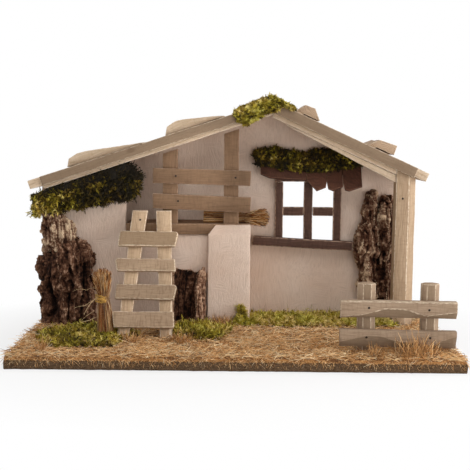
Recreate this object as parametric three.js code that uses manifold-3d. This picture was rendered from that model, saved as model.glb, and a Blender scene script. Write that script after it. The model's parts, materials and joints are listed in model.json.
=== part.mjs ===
// A tabletop nativity stable: a straw-strewn board with plastered walls under a timber gable roof,
// a hay loft with a railing and a ladder, a window under a shingle canopy, cork bark, sheaves and a fence.
// Millimetres, +Z up. The origin is the centre of the base board's underside,
// +X runs to the right of someone facing the stable and +Y towards its back wall.
import * as THREE from "three";
import { mergeVertices } from "three/addons/utils/BufferGeometryUtils.js";
import Module from "manifold-3d";

// Base board and what lies on it. Its width and depth follow from what stands on it.
const baseThickness = 10;
const yardDepth = 185;
const strawDepth = 3;
const strawEdgeInset = 1;

// Gap left for the glue between pieces that lie on each other
const glueGap = 0.3;
// Space kept round whatever stands through the straw and the moss
const footClearance = 0.5;
const splayClearance = 1;

// Walls
const wallThickness = 6;
const leftWallInset = 3;
const backWallInset = 3;
const frontWallWidth = 106;
const stableDepth = 62;
const bayWidth = 181.4;

// Right corner post
const postWidth = 26;
const postDepth = 22;
const postChamfer = 10;
const postRightInset = 26;
const postProud = 11;

// Roof. The ridge stands over the bay, and the loft and the window hang from its height.
const ridgePastBlock = 26.4;
const ridgeHeight = 295.2;
const leftPitch = THREE.MathUtils.degToRad(18.3);
const rightPitch = THREE.MathUtils.degToRad(24.2);
const deckThickness = 11;
const leftEaveOverhang = 15.8;
const rightEaveOverhang = 15.1;
const roofBackOverhang = 2;
const bargeThickness = 6;
const leftBargeHeight = 11.5;
const rightBargeHeight = 13;
const leftRafterDrop = 5;
const rightRafterDrop = 7.2;
// The batten under the right rafter: its share of the way from the post to the ridge, and its wedge
const rightBattenShare = 0.88;
const rightBattenThin = 1.5;
const rightBattenThick = 8.8;
const rightBattenSetback = 2;

// Split slabs laid on the roof, placed by their lower end's distance down the slope from the ridge
const slabBackInset = 3;
const leftSlabThickness = 13.5;
const leftSlabShoulder = 17;
const leftSlabTail = 1.5;
// From a left slab's nose up the slope: the shares of its shoulder and of its thickness
const leftSlabNose = [[0, 0], [0.3, 0.75], [1, 1], [1.6, 0.95]];
const lowerSlabDistance = 268.8;
const lowerSlabReach = 98;
const upperSlabDistance = 140.3;
const upperSlabReach = 78;
const rightSlabFoot = 11;
const rightSlabLift = 2;
// Crest and lip are given by the way back from the lower end and by the height over the roof
const upperRightSlab = { distance: 63.6, width: 33, crest: [24.8, 13.2], lip: [12.2, 13.8] };
const lowerRightSlab = { distance: 164.5, width: 35, crest: [23.5, 12], lip: [0.9, 14.5] };

// Loft
const loftFloorThickness = 13.5;
const loftBelowRidge = 154.2;
const loftOverhang = 3;
const railingPostWidth = 19;
const railingPostDepth = 10;
const railingPostHeadroom = 8.8;
const railingSetback = 3;
const leftRailingPostInset = 46.3;
const rightRailingPostInset = 15;
const railThickness = 5.5;
const railHeight = 19;
const railLength = 122.5;
const railRightInset = 0.5;
const railEndSlant = 1;
const upperRailRise = 59.5;
const lowerRailRise = 26.9;
const upperRailTilt = THREE.MathUtils.degToRad(1.2);
const lowerRailTilt = THREE.MathUtils.degToRad(1.95);

// Wall under the loft, and the plastered block that carries the loft's free end
const wallUnderLoftWidth = 104;
const blockWidth = 53;
const blockProud = 11;
const blockChamferDrop = 12;
const blockCornerCut = 9;

// Ladder
const ladderLean = THREE.MathUtils.degToRad(32.6);
const ladderRailClearance = 1.5;
const ladderOffset = 33.5;
const ladderFootSpread = 52;
const ladderTopSpread = 29.5;
const legFootWidth = 14;
const legTopWidth = 19;
const legThickness = 8;
const rungLength = 74;
const rungPlanks = [
  { height: 20, shift: -2 },
  { height: 19, shift: -1 },
  { height: 16.5, shift: -3.4 },
  { height: 20, shift: -2 },
];
const rungThickness = 5;
const firstRungRise = 28.5;
const lastRungDrop = 41.1;
const rungWane = 3;

// Window, in the back wall. The lower panes are measured from the sill's centre line.
const windowPastBlock = 76.7;
const sillBelowRidge = 183.2;
const paneWidth = 27.5;
const upperPaneHeight = 33;
const lowerPaneHeight = 36;
const windowBarWidth = 11.5;
const stileWidth = 10.5;
const windowHeadHeight = 9.5;
const windowFrameThickness = 6;
const holeLap = 2;
const sillHeight = 12;
const sillDepth = 9.5;
const sillBlockGap = 3;
const sillBarkGap = 1.9;
const sillEndSlant = 1;
const sillTilt = THREE.MathUtils.degToRad(2.9);

// Shingle canopy over the window
const canopyRise = 20;
const canopyPitch = THREE.MathUtils.degToRad(55);
const shingleThickness = 3;
const canopyLeftReach = 63.3;
const shingleJoint = 0.6;
// Each shingle's lower edge: shares of its width and lengths down the canopy's slope
const shinglePlanks = [
  { width: 60, edge: [[0, 24.5], [0.2, 30.4], [1, 33]] },
  { width: 26, edge: [[0, 33.6], [0.48, 49.5], [0.95, 43.9], [1, 37.5]] },
  { width: 21, edge: [[0, 37.5], [0.07, 46.5], [0.35, 49], [1, 42.6]] },
  { width: 25, edge: [[0, 36], [0.07, 47.7], [0.3, 49.3], [1, 42.6]] },
];
const canopyBattenHeight = 16;
const canopyBattenDrop = 4;
const canopyBattenInset = 6;

// Fence
const fencePostWidth = 20;
const fencePostDepth = 16;
const fencePostChamfer = 5.5;
const fencePostHeight = 81;
const fencePostSpacing = 70.5;
const fenceRightInset = 34.5;
const fenceSetback = 34;
const fenceRailLength = 128;
const fenceRailHeight = 19.5;
const fenceRailThickness = 8;
const fenceRailOverhang = 19;
const upperFenceRailRise = 53.5;
const lowerFenceRailRise = 21;
const fenceRailWaneDepth = 4.4;
const upperFenceRailWane = [
  { at: 0, height: 1.8 },
  { at: 0.19, height: 3.3 },
  { at: 0.38, height: 10.7 },
  { at: 0.56, height: 10.4 },
  { at: 0.73, height: 2.9 },
  { at: 0.91, height: 6.4 },
  { at: 1, height: 7.9 },
];
const lowerFenceRailWane = [
  { at: 0, height: 5.9 },
  { at: 0.14, height: 9.9 },
  { at: 0.24, height: 12.8 },
  { at: 0.35, height: 12.6 },
  { at: 0.47, height: 8 },
  { at: 0.8, height: 3.7 },
  { at: 0.89, height: 9.5 },
  { at: 1, height: 14 },
];
const fenceRailBow = 0.8;
const fenceRailEdge = 1.2;
const fenceRailEndPast = 1;

// Cork bark. Its furrows stand in and out by a share of the piece's size.
const barkFurrowDepth = 0.09;
const broadFurrows = 5;
const narrowFurrows = 11;
const barkSides = 30;
const barkFullness = 1.25;
const leftBarkWidth = 70;
const leftBarkDepth = 34;
const leftBarkHeight = 112;
const leftBarkInset = 36;
const shoulderBarkWidth = 45;
const shoulderBarkDepth = 24;
const shoulderBarkHeight = 60;
const shoulderBarkBottom = 82;
const shoulderBarkInset = 27;
const rightBarkHeight = 170;
const rightBarkDepth = 27;
const rightLobeWidth = 23;
const leftLobeWidth = 36;
const rightBarkPastPost = -3;
const rightLobeDrop = 5;
const lobeOverlap = 7;
const hollowBarkWidth = 45;
const hollowBarkDepth = 22;
const hollowBarkHeight = 73;
const hollowBarkWall = 5;
const hollowBarkLeftWrap = THREE.MathUtils.degToRad(8);
const hollowBarkRightWrap = THREE.MathUtils.degToRad(60);
const hollowBarkSideGap = 1.5;
const hollowBarkLip = [
  { at: 0, rise: -0.05 },
  { at: 0.2, rise: 0.06 },
  { at: 0.3, rise: 0.04 },
  { at: 0.44, rise: -0.05 },
  { at: 0.62, rise: -0.01 },
  { at: 0.85, rise: 0.01 },
  { at: 1, rise: -0.03 },
];

// Sheaves of straw
const strawStalk = 1.7;
const sheafHeight = 87;
const sheafWaistRise = 50.5;
const sheafWaistRadius = 6.6;
const sheafFootRadius = 8.8;
const sheafHeadRadius = 12.5;
const sheafTieWidth = 7;
const sheafTieThickness = 1.2;
const sheafTieEdge = 0.4;
const sheafFromLadder = 50.8;
const sheafStandoff = 87;
const bundleLength = 86;
const bundleWaistRadius = 6.4;
const bundleTailRadius = 7.5;
const bundleHeadRadius = 11.5;
const bundleReach = 26;
const bundleRailingGap = 3;

// Moss
const mossSkin = 1;
const ridgeMossHeight = 7;
const ridgeMossLeft = 47;
const ridgeMossRight = 28;
const ridgeMossDepth = 46;
const ridgeMossOverhang = 5;
// The lower edge of the ridge moss over the bargeboards: ways from the ridge and drops under the roof
const ridgeMossDrape = [[-47, 4], [-40, 15], [-32, 20], [-18, 18], [-10, 14], [4, 12], [11, 3]];
const ridgeMossDrapeLap = 3;
const eaveMossDrop = 34;
const eaveMossThickness = 13;
const eaveMossReach = 20;
const windowMossHeight = 9;
const windowMossOverlap = 6;
const windowMossReach = 9;
const windowMossBelly = 6;
const windowMossFall = 3;
const windowMossNose = 5;
const eaveMossFringe = 9;
const leftMossInset = 70;
const leftMossStandoff = 95;
const leftMossRadiusX = 54;
const leftMossRadiusY = 58;
const leftMossHeight = 6.5;
const centreMossBesideBlock = 8.6;
const centreMossStandoff = 69;
const centreMossRadius = 38;
const centreMossHeight = 7.5;
const backMossPastBlock = 91;
const backMossStandoff = 45;
const backMossRadiusX = 104;
const backMossRadiusY = 41;
const backMossHeight = 6.6;

// How far a cutting shape reaches past what it cuts
const margin = 10;

const baseTop = baseThickness;
const loftWidth = wallUnderLoftWidth + glueGap + blockWidth;
const halfWidth = (leftWallInset + frontWallWidth + glueGap + loftWidth + bayWidth
  + postWidth + postRightInset) / 2;
const halfDepth = (yardDepth + stableDepth + backWallInset) / 2;
const wallLeft = -halfWidth + leftWallInset;
const backWallBack = halfDepth - backWallInset;
const backWallFront = backWallBack - wallThickness;
const frontWallFront = backWallBack - stableDepth;
const frontWallBack = frontWallFront + wallThickness;
const frontWallRight = wallLeft + frontWallWidth;
const postRight = halfWidth - postRightInset;
const postLeft = postRight - postWidth;
const postFront = frontWallFront - postProud;
const roofLeft = wallLeft - leftEaveOverhang;
const roofRight = postRight + rightEaveOverhang;
const roofFront = postFront;
const roofBack = backWallBack + roofBackOverhang;
const bargeBack = roofFront - glueGap;
const bargeFront = bargeBack - bargeThickness;
const loftFront = frontWallFront - loftOverhang;
const loftLeft = frontWallRight + glueGap;
const blockLeft = loftLeft + wallUnderLoftWidth + glueGap;
const blockRight = blockLeft + blockWidth;
const blockFront = loftFront - blockProud;
const ridgeX = blockRight + ridgePastBlock;
const loftFloorHeight = ridgeHeight - loftBelowRidge;
const loftBottom = loftFloorHeight - loftFloorThickness;
const railingFront = loftFront + railingSetback;

const wasm = await Module();
wasm.setup();

// Solids and shapes

function solidOf(geometry) {
  const flat = geometry.index ? geometry.toNonIndexed() : geometry;
  const bare = new THREE.BufferGeometry();
  bare.setAttribute("position", flat.getAttribute("position"));
  const merged = mergeVertices(bare, 1e-4);
  const mesh = new wasm.Mesh({
    numProp: 3,
    vertProperties: merged.attributes.position.array,
    triVerts: new Uint32Array(merged.index.array),
  });
  return new wasm.Manifold(mesh);
}

function geometryOf(solid) {
  const { vertProperties, triVerts } = solid.getMesh();
  const geometry = new THREE.BufferGeometry();
  geometry.setAttribute("position", new THREE.BufferAttribute(new Float32Array(vertProperties), 3));
  geometry.setIndex(new THREE.BufferAttribute(new Uint32Array(triVerts), 1));
  return geometry;
}

function block(left, right, front, back, bottom, top) {
  const geometry = new THREE.BoxGeometry(right - left, back - front, top - bottom);
  return geometry.translate((left + right) / 2, (front + back) / 2, (bottom + top) / 2);
}

function shapeOf(points) {
  return new THREE.Shape(points.map(([x, y]) => new THREE.Vector2(x, y)));
}

// An outline in the upright XZ plane, carried from front to back.
function uprightPrism(shape, front, back) {
  const geometry = new THREE.ExtrudeGeometry(shape, { depth: back - front, bevelEnabled: false });
  return geometry.rotateX(Math.PI / 2).translate(0, back, 0);
}

// A plan outline carried from the bottom up.
function standingPrism(shape, bottom, top) {
  const geometry = new THREE.ExtrudeGeometry(shape, { depth: top - bottom, bevelEnabled: false });
  return geometry.translate(0, 0, bottom);
}

// Turns a solid built up along Z so that it runs along X, with its own x to the back and its y upwards.
function layAlongX(geometry) {
  const towardsBack = new THREE.Vector3(0, 1, 0);
  const upwards = new THREE.Vector3(0, 0, 1);
  const towardsRight = new THREE.Vector3(1, 0, 0);
  return geometry.applyMatrix4(new THREE.Matrix4().makeBasis(towardsBack, upwards, towardsRight));
}

// Triangles across a ring, which zigzag between its first half and its second half.
function ringCap(count) {
  const triangles = [];
  let low = 0;
  let high = count - 1;
  while (high - low > 1) {
    triangles.push([low, low + 1, high]);
    low += 1;
    if (high - low > 1) {
      triangles.push([low, high - 1, high]);
      high -= 1;
    }
  }
  return triangles;
}

// A skin over rings of equal count, each anticlockwise from above, closed at both ends.
function loft(rings) {
  const count = rings[0].length;
  const lastStart = (rings.length - 1) * count;
  const faces = [];
  for (let start = 0; start < lastStart; start += count) {
    for (let side = 0; side < count; side += 1) {
      const a = start + side;
      const b = start + ((side + 1) % count);
      faces.push(a, b, b + count, a, b + count, a + count);
    }
  }
  ringCap(count).forEach(([a, b, c]) => {
    faces.push(a, c, b, lastStart + a, lastStart + b, lastStart + c);
  });
  const geometry = new THREE.BufferGeometry().setFromPoints(rings.flat());
  geometry.setIndex(faces);
  return geometry;
}

// The value at a share of the way along a list of evenly or freely placed stations.
function between(stations, share, key) {
  const next = stations.findIndex((station) => station.at >= share);
  if (next <= 0) {
    return stations[Math.max(next, 0)][key];
  }
  const from = stations[next - 1];
  const to = stations[next];
  return THREE.MathUtils.mapLinear(share, from.at, to.at, from[key], to[key]);
}

// Roof lines

function roofTop(x) {
  const run = Math.abs(x - ridgeX);
  return ridgeHeight - run * Math.tan(x < ridgeX ? leftPitch : rightPitch);
}

// The height of a line that lies a set thickness, square to the slope, under the roof's top.
function underRoof(x, thickness) {
  return roofTop(x) - thickness / Math.cos(x < ridgeX ? leftPitch : rightPitch);
}

function wallTop(x) {
  return underRoof(x, deckThickness) - glueGap;
}

const wallTopAtRidge = Math.min(wallTop(ridgeX - 1e-6), wallTop(ridgeX)) - glueGap;

// All that lies above the underside of the roof.
function roofRoom() {
  const outline = shapeOf([
    [roofLeft - margin, wallTop(roofLeft - margin)],
    [ridgeX, wallTopAtRidge],
    [roofRight + margin, wallTop(roofRight + margin)],
    [roofRight + margin, 2 * ridgeHeight],
    [roofLeft - margin, 2 * ridgeHeight],
  ]);
  return solidOf(uprightPrism(outline, -halfDepth, halfDepth));
}

// A piece that follows one slope between two depths under the roof's top. Its ridge end is cut
// plumb, half a glue gap off the ridge, and its eave end is square to the slope or plumb.
function slopePiece(side, eaveX, depthTop, depthBottom, front, back, eaveCut = "square") {
  const pitch = side < 0 ? leftPitch : rightPitch;
  const ridgeEnd = ridgeX + (side * glueGap) / 2;
  const lean = eaveCut === "square" ? side * Math.sin(pitch) : 0;
  const eaveEnd = (depth) => eaveX - depth * lean;
  const outline = [
    [ridgeEnd, underRoof(ridgeEnd, depthTop)],
    [ridgeEnd, underRoof(ridgeEnd, depthBottom)],
    [eaveEnd(depthBottom), underRoof(eaveEnd(depthBottom), depthBottom)],
    [eaveEnd(depthTop), underRoof(eaveEnd(depthTop), depthTop)],
  ];
  return uprightPrism(shapeOf(outline), front, back);
}

// A wedge under the right rafter, thin near the ridge and thick at the post.
function rightBatten(postSide, rafterBottom, back) {
  const upperEnd = THREE.MathUtils.lerp(postSide, ridgeX, rightBattenShare);
  const top = rafterBottom + glueGap;
  const outline = [
    [upperEnd, underRoof(upperEnd, top)],
    [upperEnd, underRoof(upperEnd, top + rightBattenThin)],
    [postSide, underRoof(postSide, top + rightBattenThick)],
    [postSide, underRoof(postSide, top)],
  ];
  return uprightPrism(shapeOf(outline), roofFront + rightBattenSetback, back);
}

// Walls, post and loft

function backWall() {
  const outline = shapeOf([
    [wallLeft, baseTop],
    [postRight, baseTop],
    [postRight, wallTop(postRight)],
    [ridgeX, wallTopAtRidge],
    [wallLeft, wallTop(wallLeft)],
  ]);
  const paneSpan = 2 * paneWidth + windowBarWidth;
  const holeLeft = windowCentreX - paneSpan / 2 - holeLap;
  const holeRight = windowCentreX + paneSpan / 2 + holeLap;
  const holeBottom = windowSillHeight + holeLap;
  const holeTop = windowTop() + holeLap;
  const hole = [
    [holeLeft, holeBottom],
    [holeRight, holeBottom],
    [holeRight, holeTop],
    [holeLeft, holeTop],
  ];
  outline.holes.push(new THREE.Path(hole.map(([x, y]) => new THREE.Vector2(x, y))));
  return uprightPrism(outline, backWallFront, backWallBack);
}

function frontWall() {
  const outline = shapeOf([
    [wallLeft, baseTop],
    [frontWallRight, baseTop],
    [frontWallRight, wallTop(frontWallRight)],
    [wallLeft, wallTop(wallLeft)],
  ]);
  return uprightPrism(outline, frontWallFront, frontWallBack);
}

function sideWall() {
  const inner = wallLeft + wallThickness;
  const outline = shapeOf([
    [wallLeft, baseTop],
    [inner, baseTop],
    [inner, wallTop(inner)],
    [wallLeft, wallTop(wallLeft)],
  ]);
  return uprightPrism(outline, frontWallBack + glueGap, backWallFront - glueGap);
}

function wallUnderLoft() {
  return block(
    loftLeft, blockLeft - glueGap, frontWallFront, frontWallBack, baseTop, loftBottom - glueGap,
  );
}

// The block stands proud of the loft's front edge, and its top slopes up to meet the floor.
function plasterBlock() {
  const lipBack = loftFront - glueGap;
  const shoulder = loftFloorHeight - blockChamferDrop;
  const profile = shapeOf([
    [blockFront, baseTop],
    [backWallFront - glueGap, baseTop],
    [backWallFront - glueGap, loftBottom - glueGap],
    [lipBack, loftBottom - glueGap],
    [lipBack, loftFloorHeight - glueGap],
    [blockFront, shoulder],
  ]);
  const body = layAlongX(standingPrism(profile, blockLeft, blockRight));
  const cornerCut = shapeOf([
    [blockLeft - margin, blockFront],
    [blockLeft, blockFront],
    [blockLeft + blockCornerCut, lipBack],
    [blockLeft - margin, lipBack],
  ]);
  const cutter = standingPrism(cornerCut, shoulder, loftFloorHeight);
  return geometryOf(solidOf(body).subtract(solidOf(cutter)));
}

function cornerPost() {
  const section = shapeOf([
    [postLeft, postFront],
    [postRight - postChamfer, postFront],
    [postRight, postFront + postChamfer],
    [postRight, postFront + postDepth],
    [postLeft, postFront + postDepth],
  ]);
  const stock = standingPrism(section, baseTop, wallTop(postLeft) + glueGap);
  return geometryOf(solidOf(stock).subtract(roofRoom()));
}

function railingPost(left) {
  const right = left + railingPostWidth;
  const outline = shapeOf([
    [left, loftFloorHeight],
    [right, loftFloorHeight],
    [right, underRoof(right, deckThickness) - railingPostHeadroom],
    [left, underRoof(left, deckThickness) - railingPostHeadroom],
  ]);
  return uprightPrism(outline, railingFront, railingFront + railingPostDepth);
}

const leftRailingPostLeft = loftLeft + leftRailingPostInset;
const rightRailingPostLeft = blockRight - rightRailingPostInset - railingPostWidth;

// The height of a tilted loft rail's centre line.
function railCentre(rise, tilt, x) {
  const middle = blockRight - railRightInset - railLength / 2;
  return loftFloorHeight + rise - (x - middle) * Math.tan(tilt);
}

function loftRail(rise, tilt) {
  const right = blockRight - railRightInset;
  const left = right - railLength;
  const half = railHeight / 2;
  const outline = shapeOf([
    [left, railCentre(rise, tilt, left) - half],
    [right, railCentre(rise, tilt, right) - half],
    [right + railEndSlant, railCentre(rise, tilt, right) + half],
    [left, railCentre(rise, tilt, left) + half],
  ]);
  const back = railingFront - glueGap;
  return uprightPrism(outline, back - railThickness, back);
}

// Roof slabs: a left one is a wedge whose thick, rough end points down the slope.
function leftSlab(distance, reach) {
  const run = (along) => ridgeX - along * Math.cos(leftPitch);
  const height = (along, lift) => ridgeHeight - along * Math.sin(leftPitch) + lift * Math.cos(leftPitch);
  const shift = (along, lift) => run(along) - lift * Math.sin(leftPitch);
  const nose = leftSlabNose.map(([back, rise]) => [
    distance - leftSlabShoulder * back,
    Math.max(leftSlabThickness * rise, glueGap),
  ]);
  const section = [[distance - reach, glueGap], ...nose, [distance - reach, leftSlabTail]];
  const outline = section.map(([along, lift]) => [shift(along, lift), height(along, lift)]);
  return uprightPrism(shapeOf(outline), roofFront, roofBack - slabBackInset);
}

// A right one is a split billet that sits on a narrow foot, so its lower edge stands off the roof.
function rightSlab({ distance, width, crest, lip }) {
  const height = (along, lift) => ridgeHeight - along * Math.sin(rightPitch) + lift * Math.cos(rightPitch);
  const shift = (along, lift) => ridgeX + along * Math.cos(rightPitch) + lift * Math.sin(rightPitch);
  const upper = distance - width;
  const section = [
    [upper, glueGap],
    [upper + rightSlabFoot, glueGap],
    [upper + rightSlabFoot, rightSlabLift],
    [distance, rightSlabLift],
    [distance - lip[0], lip[1]],
    [distance - crest[0], crest[1]],
  ];
  const outline = section.map(([along, lift]) => [shift(along, lift), height(along, lift)]);
  return uprightPrism(shapeOf(outline), roofFront, roofBack - slabBackInset);
}

// Ladder

const ladderCentreX = loftLeft + ladderOffset;
const rungPlaneBack = railingFront - glueGap;
const legDepth = legThickness / Math.cos(ladderLean);
const rightLegTopX = ladderCentreX + ladderTopSpread / 2;
const ladderTop = railCentre(lowerRailRise, lowerRailTilt, rightLegTopX + legTopWidth)
  - railHeight / 2 - ladderRailClearance;
const legFootFront = rungPlaneBack - legDepth - (ladderTop - baseTop) * Math.tan(ladderLean);

// A leg's ends are cut level, so that it stands flat on the board.
function ladderLeg(side) {
  const footX = ladderCentreX + (side * ladderFootSpread) / 2;
  const topX = ladderCentreX + (side * ladderTopSpread) / 2;
  const ring = (x, front, width, height) => [
    new THREE.Vector3(x - width / 2, front, height),
    new THREE.Vector3(x + width / 2, front, height),
    new THREE.Vector3(x + width / 2, front + legDepth, height),
    new THREE.Vector3(x - width / 2, front + legDepth, height),
  ];
  return loft([
    ring(footX, legFootFront, legFootWidth, baseTop),
    ring(topX, rungPlaneBack - legDepth, legTopWidth, ladderTop),
  ]);
}

const ladderLength = (ladderTop - baseTop) / Math.cos(ladderLean);
const rungPitch = (ladderLength - firstRungRise - lastRungDrop) / (rungPlanks.length - 1);

// A rung is a short split plank with waney ends, in the ladder's own leaning plane.
function rung({ height, shift }, index) {
  const half = rungLength / 2;
  const rise = height / 2;
  const flip = index % 2 === 0 ? 1 : -1;
  const outline = shapeOf([
    [-half + rungWane, -rise],
    [half - rungWane * 0.4, -rise],
    [half, -rise + rungWane * 0.6],
    [half - rungWane * 0.5, rise],
    [-half + rungWane * 0.8, rise],
    [-half, rise - rungWane],
  ].map(([x, y]) => [flip * x, y]));
  const upTheLegs = firstRungRise + index * rungPitch;
  return uprightPrism(outline, -rungThickness - glueGap, -glueGap).translate(shift, 0, upTheLegs);
}

// Window and canopy

const windowCentreX = blockRight + windowPastBlock;
const windowSillHeight = ridgeHeight - sillBelowRidge;
const shingleLeft = windowCentreX - canopyLeftReach;

function windowTop() {
  return transomTop() + upperPaneHeight;
}

function transomTop() {
  return windowSillHeight + lowerPaneHeight + windowBarWidth;
}

const frameBack = backWallFront - glueGap;
const frameFront = frameBack - windowFrameThickness;
const leftStileLeft = windowCentreX - windowBarWidth / 2 - paneWidth - stileWidth;
const rightStileRight = windowCentreX + windowBarWidth / 2 + paneWidth + stileWidth;

function windowBar(left, right, bottom, top) {
  return block(left, right, frameFront, frameBack, bottom, top);
}

function windowSill() {
  const left = blockRight + sillBlockGap;
  const right = leftLobe.centreX - leftLobeWidth / 2 - sillBarkGap;
  const sillLength = right - left;
  const back = frameFront - glueGap;
  const shape = shapeOf([
    [-sillLength / 2, -sillHeight / 2],
    [sillLength / 2 - sillEndSlant, -sillHeight / 2],
    [sillLength / 2, sillHeight / 2],
    [-sillLength / 2 + sillEndSlant, sillHeight / 2],
  ]);
  const bar = uprightPrism(shape, back - sillDepth, back).rotateY(sillTilt);
  return bar.translate((left + right) / 2, 0, windowSillHeight);
}

const canopyWidth = shinglePlanks.reduce((sum, plank) => sum + plank.width, 0);
const canopyTop = () => windowTop() + windowHeadHeight + canopyRise;

// A shingle in the canopy's own plane: it hangs from its upper edge, and z is the way up the slope.
function shingle({ width, edge }, index) {
  const left = shingleLeft + shinglePlanks.slice(0, index).reduce((sum, plank) => sum + plank.width, 0);
  const right = left + width - shingleJoint;
  const lowerEdge = edge.map(([share, length]) => [THREE.MathUtils.lerp(left, right, share), -length]);
  return uprightPrism(shapeOf([[left, 0], ...lowerEdge, [right, 0]]), -shingleThickness, 0);
}

// The batten under the canopy fills the wedge between the wall and the backs of the shingles.
function canopyBatten() {
  const top = canopyTop() - canopyBattenDrop;
  const bottom = top - canopyBattenHeight;
  const slopeY = (height) => frameBack - (canopyTop() - height) / Math.tan(canopyPitch) + 2 * glueGap;
  const profile = shapeOf([
    [frameBack, bottom],
    [frameBack, top],
    [slopeY(top), top],
    [slopeY(bottom), bottom],
  ]);
  const left = shingleLeft + canopyBattenInset;
  const right = shingleLeft + canopyWidth - canopyBattenInset;
  return layAlongX(standingPrism(profile, left, right));
}

// Fence

const fenceRightPostX = halfWidth - fenceRightInset;
const fenceRailBack = -halfDepth + fenceSetback - glueGap;

function fencePost(centreX) {
  const half = fencePostWidth / 2;
  const front = -halfDepth + fenceSetback;
  const back = front + fencePostDepth;
  const section = shapeOf([
    [centreX - half + fencePostChamfer, front],
    [centreX + half - fencePostChamfer, front],
    [centreX + half, front + fencePostChamfer],
    [centreX + half, back - fencePostChamfer],
    [centreX + half - fencePostChamfer, back],
    [centreX - half + fencePostChamfer, back],
    [centreX - half, back - fencePostChamfer],
    [centreX - half, front + fencePostChamfer],
  ]);
  return standingPrism(section, baseTop, baseTop + fencePostHeight);
}

// A split rail: a flat face, and under it a waney bevel whose upper edge waves along the rail.
function fenceRail(rise, wane, phase) {
  const stations = 24;
  const bottom = baseTop + rise;
  const top = bottom + fenceRailHeight;
  const front = fenceRailBack - fenceRailThickness;
  const left = fenceRightPostX - fencePostSpacing - fencePostWidth / 2
    - fenceRailOverhang - fenceRailEndPast;
  const rings = [];
  for (let station = 0; station <= stations; station += 1) {
    const share = station / stations;
    const bevel = between(wane, share, "height");
    const bow = fenceRailBow * Math.sin(share * Math.PI + phase);
    const x = left + share * fenceRailLength;
    rings.push([
      new THREE.Vector3(front, bottom + bow + bevel, x),
      new THREE.Vector3(front + fenceRailWaneDepth, bottom + bow, x),
      new THREE.Vector3(fenceRailBack, bottom + bow, x),
      new THREE.Vector3(fenceRailBack, top + bow, x),
      new THREE.Vector3(front + fenceRailEdge, top + bow, x),
      new THREE.Vector3(front, top + bow - fenceRailEdge, x),
    ]);
  }
  return layAlongX(loft(rings));
}

// Cork bark

// How far a furrowed bark face stands in or out, as a share of its size, round the piece and up it:
// broad wandering furrows, narrow slanting ones, and the slow rings of the cork's growth.
function furrow(angle, share) {
  const broad = Math.cos(broadFurrows * angle + 3 * Math.sin(2.2 * Math.PI * share));
  const narrow = Math.cos(narrowFurrows * angle - 4 * share + 1.3);
  const rings = Math.sin(9 * share * Math.PI + 2 * angle);
  return barkFurrowDepth * (0.9 * broad + 0.6 * narrow + 0.35 * rings);
}

// A standing slab of bark with a flat back. Its stations give its left and right edges and its
// depth, as shares of its width and depth, from its foot to its head.
function barkSlab(piece, grow = 0) {
  const levels = 13;
  const rings = [];
  for (let level = 0; level <= levels; level += 1) {
    const share = level / levels;
    const left = piece.centreX + between(piece.stations, share, "left") * piece.width;
    const right = piece.centreX + between(piece.stations, share, "right") * piece.width;
    const depth = between(piece.stations, share, "depth") * piece.depth;
    const ring = [];
    for (let side = 0; side < barkSides; side += 1) {
      const angle = (side / barkSides) * 2 * Math.PI;
      const bulge = 1 + furrow(angle, share);
      const x = (left + right) / 2 + Math.cos(angle) * ((right - left) / 2 * bulge + grow);
      const y = piece.back - depth / 2 + Math.sin(angle) * (depth / 2 * bulge * barkFullness + grow);
      const z = piece.bottom - grow + share * (piece.height + 2 * grow);
      ring.push(new THREE.Vector3(x, Math.min(y, piece.back + grow / 2), z));
    }
    rings.push(ring);
  }
  return solidOf(loft(rings));
}

const barkBackAtFront = frontWallFront - glueGap;
const leftBark = {
  centreX: -halfWidth + leftBarkInset,
  width: leftBarkWidth,
  depth: leftBarkDepth,
  height: leftBarkHeight,
  bottom: baseTop,
  back: barkBackAtFront,
  stations: [
    { at: 0, left: -0.44, right: 0.52, depth: 0.9 },
    { at: 0.4, left: -0.46, right: 0.48, depth: 0.85 },
    { at: 0.75, left: -0.5, right: 0.49, depth: 0.95 },
    { at: 0.82, left: -0.47, right: 0.49, depth: 0.85 },
    { at: 0.92, left: -0.22, right: 0.34, depth: 0.75 },
    { at: 1, left: -0.12, right: 0.12, depth: 0.6 },
  ],
};
const shoulderBark = {
  centreX: -halfWidth + shoulderBarkInset,
  width: shoulderBarkWidth,
  depth: shoulderBarkDepth,
  height: shoulderBarkHeight,
  bottom: shoulderBarkBottom + baseTop,
  back: barkBackAtFront,
  stations: [
    { at: 0, left: -0.4, right: 0.5, depth: 1 },
    { at: 0.4, left: -0.42, right: 0.5, depth: 1 },
    { at: 0.8, left: -0.5, right: 0.36, depth: 0.85 },
    { at: 1, left: -0.46, right: 0.12, depth: 0.5 },
  ],
};
const rightBarkX = postLeft + rightBarkPastPost;
const rightLobe = {
  centreX: rightBarkX,
  width: rightLobeWidth,
  depth: rightBarkDepth,
  height: rightBarkHeight - rightLobeDrop,
  bottom: baseTop,
  back: backWallFront - glueGap,
  stations: [
    { at: 0, left: -0.5, right: 0.5, depth: 0.95 },
    { at: 0.6, left: -0.5, right: 0.5, depth: 1 },
    { at: 0.92, left: -0.38, right: 0.45, depth: 0.8 },
    { at: 1, left: -0.25, right: 0.3, depth: 0.55 },
  ],
};
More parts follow.
